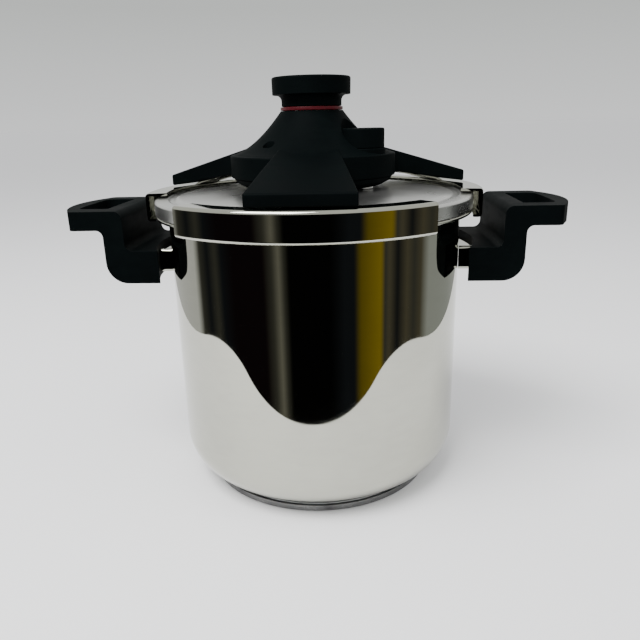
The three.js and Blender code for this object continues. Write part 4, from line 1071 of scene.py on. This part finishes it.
def cover_outside():
    """Disc and tower in one profile; the tower's curve starts where the disc's edge has ended."""
    shell = turned([
        (0, COVER_BOTTOM),
        (HUB, COVER_BOTTOM, 0.6 * MM),
        (HUB, DISC_TOP, 1.2 * MM),
        (HUB - 2.4 * MM, DISC_TOP + 0.05 * MM),
        *tower_profile(0, 40)[3:],
        (0, TOWER_TOP),
    ], sides=144)
    collar = turned([
        (0, COVER_BOTTOM + 5 * MM),
        (SELECTOR_RADIUS + 1 * MM, COVER_BOTTOM + 5 * MM),
        (SELECTOR_RADIUS + 1 * MM, COLLAR_TOP, 0.6 * MM),
        (0, COLLAR_TOP),
    ], VALVE, sides=64)
    return combine(shell, [collar, *arm_wedges(0)], "UNION")


def cover_inside():
    """The hollow, less the pillar that carries the selector's seat."""
    hollow = turned([
        (0, COVER_BOTTOM - 5 * MM),
        (HUB - COVER_WALL, COVER_BOTTOM - 5 * MM),
        (HUB - COVER_WALL, DISC_TOP - COVER_WALL - 1 * MM),
        *tower_profile(COVER_WALL, 16),
        (0, TOWER_TOP - 2 * COVER_WALL),
    ], sides=72)
    pillar = rod(SELECTOR_RADIUS + COVER_WALL, DISC_TOP - COVER_WALL, TOWER_TOP, VALVE, sides=48)
    return combine(combine(hollow, arm_wedges(COVER_WALL), "UNION"), [pillar])


def cover_openings():
    shaft = rod(SHAFT_HOLE, DISC_TOP, TOWER_TOP + 5 * MM)
    seat = rod(SELECTOR_RADIUS + 0.5 * MM, COLLAR_TOP, TOWER_TOP, VALVE, sides=96)
    stem = rod(5.8 * MM, COVER_BOTTOM, TOWER_TOP, VALVE, sides=32)
    slot = block((-5 * MM, -2.9 * MM, DISC_TOP - 8 * MM), (5 * MM, 2.9 * MM, TOWER_TOP))
    bevel_where(slot, is_upright, 2.8 * MM, 6)
    turn_points(slot, INDICATOR_ANGLE + math.pi / 2)
    bmesh.ops.translate(slot, verts=slot.verts, vec=(*INDICATOR, 0))
    return [shaft, seat, stem, slot]


cover = combine(cover_outside(), [cover_inside(), *cover_openings()])
finish_piece("tower_cover", cover, "lid", "black_plastic", ["hub_cover"], sharp=32)

# %% [markdown]
# ## Tray under the hub
#
# A black tray closes the hub from below, and its bowl shape shows between hub and lid. It is
# turned too, and two short cylinders cut its holes for the valve and the indicator.

# %% Tray under the hub
tray_low, tray_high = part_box("hub_base")
tray = turned([
    (5.4 * MM, tray_high.z - 3 * MM),
    (tray_high.x - 8 * MM, tray_high.z - 3 * MM, 1 * MM),
    (42 * MM, tray_low.z, 0.3 * MM),
    (45 * MM, tray_low.z, 0.8 * MM),
    (52.5 * MM, tray_low.z + 1.6 * MM, 6 * MM),
    (tray_high.x - 2.4 * MM, tray_high.z - 3.6 * MM, 4 * MM),
    (tray_high.x, tray_high.z, 0.5 * MM),
    (5.4 * MM, tray_high.z),
], loop=True, sides=144)
PAST = 10 * MM
valve_hole = rod(8.7 * MM, tray_low.z - PAST, tray_high.z + PAST, VALVE, sides=48)
pin_hole = rod(4.8 * MM, tray_low.z - PAST, tray_high.z + PAST, INDICATOR, sides=32)
finish_piece("hub_tray", combine(tray, [valve_hole, pin_hole]), "lid", "black_plastic", ["hub_base"])

# %% [markdown]
# ## Knob and red ring
#
# The knob is a flared cap on a short neck over a dark red ring. Its top is a separate insert that
# hides three screws, so a fine seam runs round it.

# %% Knob and red ring
knob_low, knob_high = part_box("knob")
red_low, red_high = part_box("red_ring")
insert_low, insert_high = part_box("knob_cap")
NECK = 22.4 * MM
CAP = knob_high.x
RECESS = CAP - 4 * MM
WEB = knob_low.z + 9.8 * MM
CAP_UNDERSIDE = knob_low.z + 8.1 * MM
SHAFT_FIT = 13.4 * MM
LEDGE = knob_high.z - 2.8 * MM
knob = turned([
    (SHAFT_FIT, knob_low.z, 0.2 * MM),
    (NECK, knob_low.z, 0.6 * MM),
    (NECK, CAP_UNDERSIDE, 4.4 * MM),
    (CAP - 0.2 * MM, CAP_UNDERSIDE, 0.5 * MM),
    (CAP, knob_high.z, 1.4 * MM),
    (RECESS, knob_high.z, 0.35 * MM),
    (RECESS, LEDGE),
    (RECESS - 3.3 * MM, LEDGE),
    (RECESS - 3.3 * MM, WEB + 3 * MM),
    (5 * MM, WEB + 3 * MM),
    (5 * MM, WEB),
    (SHAFT_FIT, WEB),
], loop=True, sides=128)
finish_piece("turning_knob", knob, "knob", "black_plastic", ["knob"], sharp=35)
insert = turned([
    (0, insert_low.z),
    (insert_high.x, insert_low.z, 0.2 * MM),
    (insert_high.x, insert_high.z - 0.3 * MM, 0.7 * MM),
    (insert_high.x * 0.6, insert_high.z - 0.05 * MM, 20 * MM),
    (0, insert_high.z),
], sides=128)
finish_piece("knob_insert", insert, "knob", "black_plastic", ["knob_cap"])
ring = turned([
    (13.7 * MM, red_low.z, 0.2 * MM),
    (red_high.x, red_low.z, 0.6 * MM),
    (red_high.x, red_high.z, 0.6 * MM),
    (13.7 * MM, red_high.z, 0.2 * MM),
], loop=True, sides=128)
finish_piece("red_collar", ring, "knob", "red_plastic", ["red_ring"])

# %% [markdown]
# ## Selector
#
# The valve selector is a small drum with a stem. A block cuts the shallow groove that points to
# the chosen setting.

# %% Selector
sel_low, sel_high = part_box("valve_selector")
DRUM_BOTTOM = COLLAR_TOP + 0.3 * MM
ROOF = sel_high.z - 2.5 * MM
DRUM_INSIDE = SELECTOR_RADIUS - 2.5 * MM
STEM = 5.5 * MM
STEM_BORE = 2.5 * MM
drum = turned([
    (0, sel_low.z + 4 * MM),
    (STEM_BORE, sel_low.z + 4 * MM),
    (STEM_BORE, sel_low.z, 0.3 * MM),
    (STEM, sel_low.z, 0.4 * MM),
    (STEM, ROOF),
    (DRUM_INSIDE, ROOF, 0.5 * MM),
    (DRUM_INSIDE, DRUM_BOTTOM, 0.3 * MM),
    (SELECTOR_RADIUS, DRUM_BOTTOM, 0.5 * MM),
    (SELECTOR_RADIUS, sel_high.z, 1.2 * MM),
    (SELECTOR_RADIUS - 3 * MM, sel_high.z - 0.05 * MM, 6 * MM),
    (0, sel_high.z - 0.3 * MM),
], VALVE, sides=96)
pointer = block(
    (VALVE.x + 4 * MM, VALVE.y - 1 * MM, sel_high.z - 1 * MM),
    (VALVE.x + 13 * MM, VALVE.y + 1 * MM, sel_high.z + 2 * MM),
)
finish_piece("steam_selector", combine(drum, [pointer]), "selector", "black_plastic", ["valve_selector"])

# %% [markdown]
# ## Small metal parts on the lid
#
# The foot of the steam valve peeps out under the hub, the indicator's pin stands in its slot, and
# the safety valve sits on the dome behind the hub.

# %% Valves
valve_low, valve_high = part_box("valve_body")
valve = turned([
    (2.2 * MM, valve_low.z, 0.3 * MM),
    (5 * MM, valve_low.z, 0.5 * MM),
    (5 * MM, CROWN + 0.3 * MM),
    (8 * MM, CROWN + 0.3 * MM, 0.5 * MM),
    (8 * MM, CROWN + 3.6 * MM, 0.3 * MM),
    (8.5 * MM, CROWN + 3.6 * MM, 0.2 * MM),
    (8.5 * MM, valve_high.z, 0.4 * MM),
    (6.3 * MM, valve_high.z, 0.3 * MM),
    (6.3 * MM, CROWN + 4.6 * MM, 0.5 * MM),
    (2.2 * MM, CROWN + 4.6 * MM, 0.3 * MM),
], VALVE, loop=True, sides=64)
finish_piece("steam_valve_foot", valve, "lid", "plain_steel", ["valve_body"])
pin_low, pin_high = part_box("pressure_pin")
pin = turned([
    (0, pin_low.z),
    (3.4 * MM, pin_low.z, 0.4 * MM),
    (3.4 * MM, pin_low.z + 1.5 * MM, 0.3 * MM),
    (2.5 * MM, pin_low.z + 1.5 * MM),
    (2.5 * MM, pin_high.z - 0.2 * MM, 1.4 * MM),
    (0, pin_high.z),
], INDICATOR, sides=48)
finish_piece("indicator_pin", pin, "indicator", "plain_steel", ["pressure_pin"])
safe_low, safe_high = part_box("safety_body")
SAFETY = Vector((0, (safe_low.y + safe_high.y) / 2))
body = turned([
    (2.4 * MM, safe_low.z, 0.3 * MM),
    (6 * MM, safe_low.z, 0.5 * MM),
    (6 * MM, CROWN - 0.2 * MM),
    (9 * MM, CROWN - 0.2 * MM, 0.3 * MM),
    (9 * MM, safe_high.z, 0.6 * MM),
    (4 * MM, safe_high.z, 0.4 * MM),
    (4 * MM, safe_low.z + 1.5 * MM),
    (2.4 * MM, safe_low.z + 1.5 * MM),
], SAFETY, loop=True, sides=64)
finish_piece("safety_housing", body, "lid", "plain_steel", ["safety_body"])
plunger_low, plunger_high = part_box("safety_plunger")
plunger = turned([
    (0, plunger_low.z),
    (2 * MM, plunger_low.z, 0.3 * MM),
    (2 * MM, plunger_low.z + 1.3 * MM),
    (3.6 * MM, plunger_low.z + 1.3 * MM, 0.2 * MM),
    (3.6 * MM, plunger_low.z + 2.7 * MM, 0.2 * MM),
    (1.6 * MM, plunger_low.z + 2.7 * MM),
    (1.6 * MM, plunger_high.z - 2 * MM),
    (4.6 * MM, plunger_high.z - 2 * MM, 0.3 * MM),
    (4.6 * MM, plunger_high.z - 0.3 * MM, 0.9 * MM),
    (0, plunger_high.z),
], SAFETY, sides=48)
finish_piece("safety_button", plunger, "safety", "plain_steel", ["safety_plunger"])
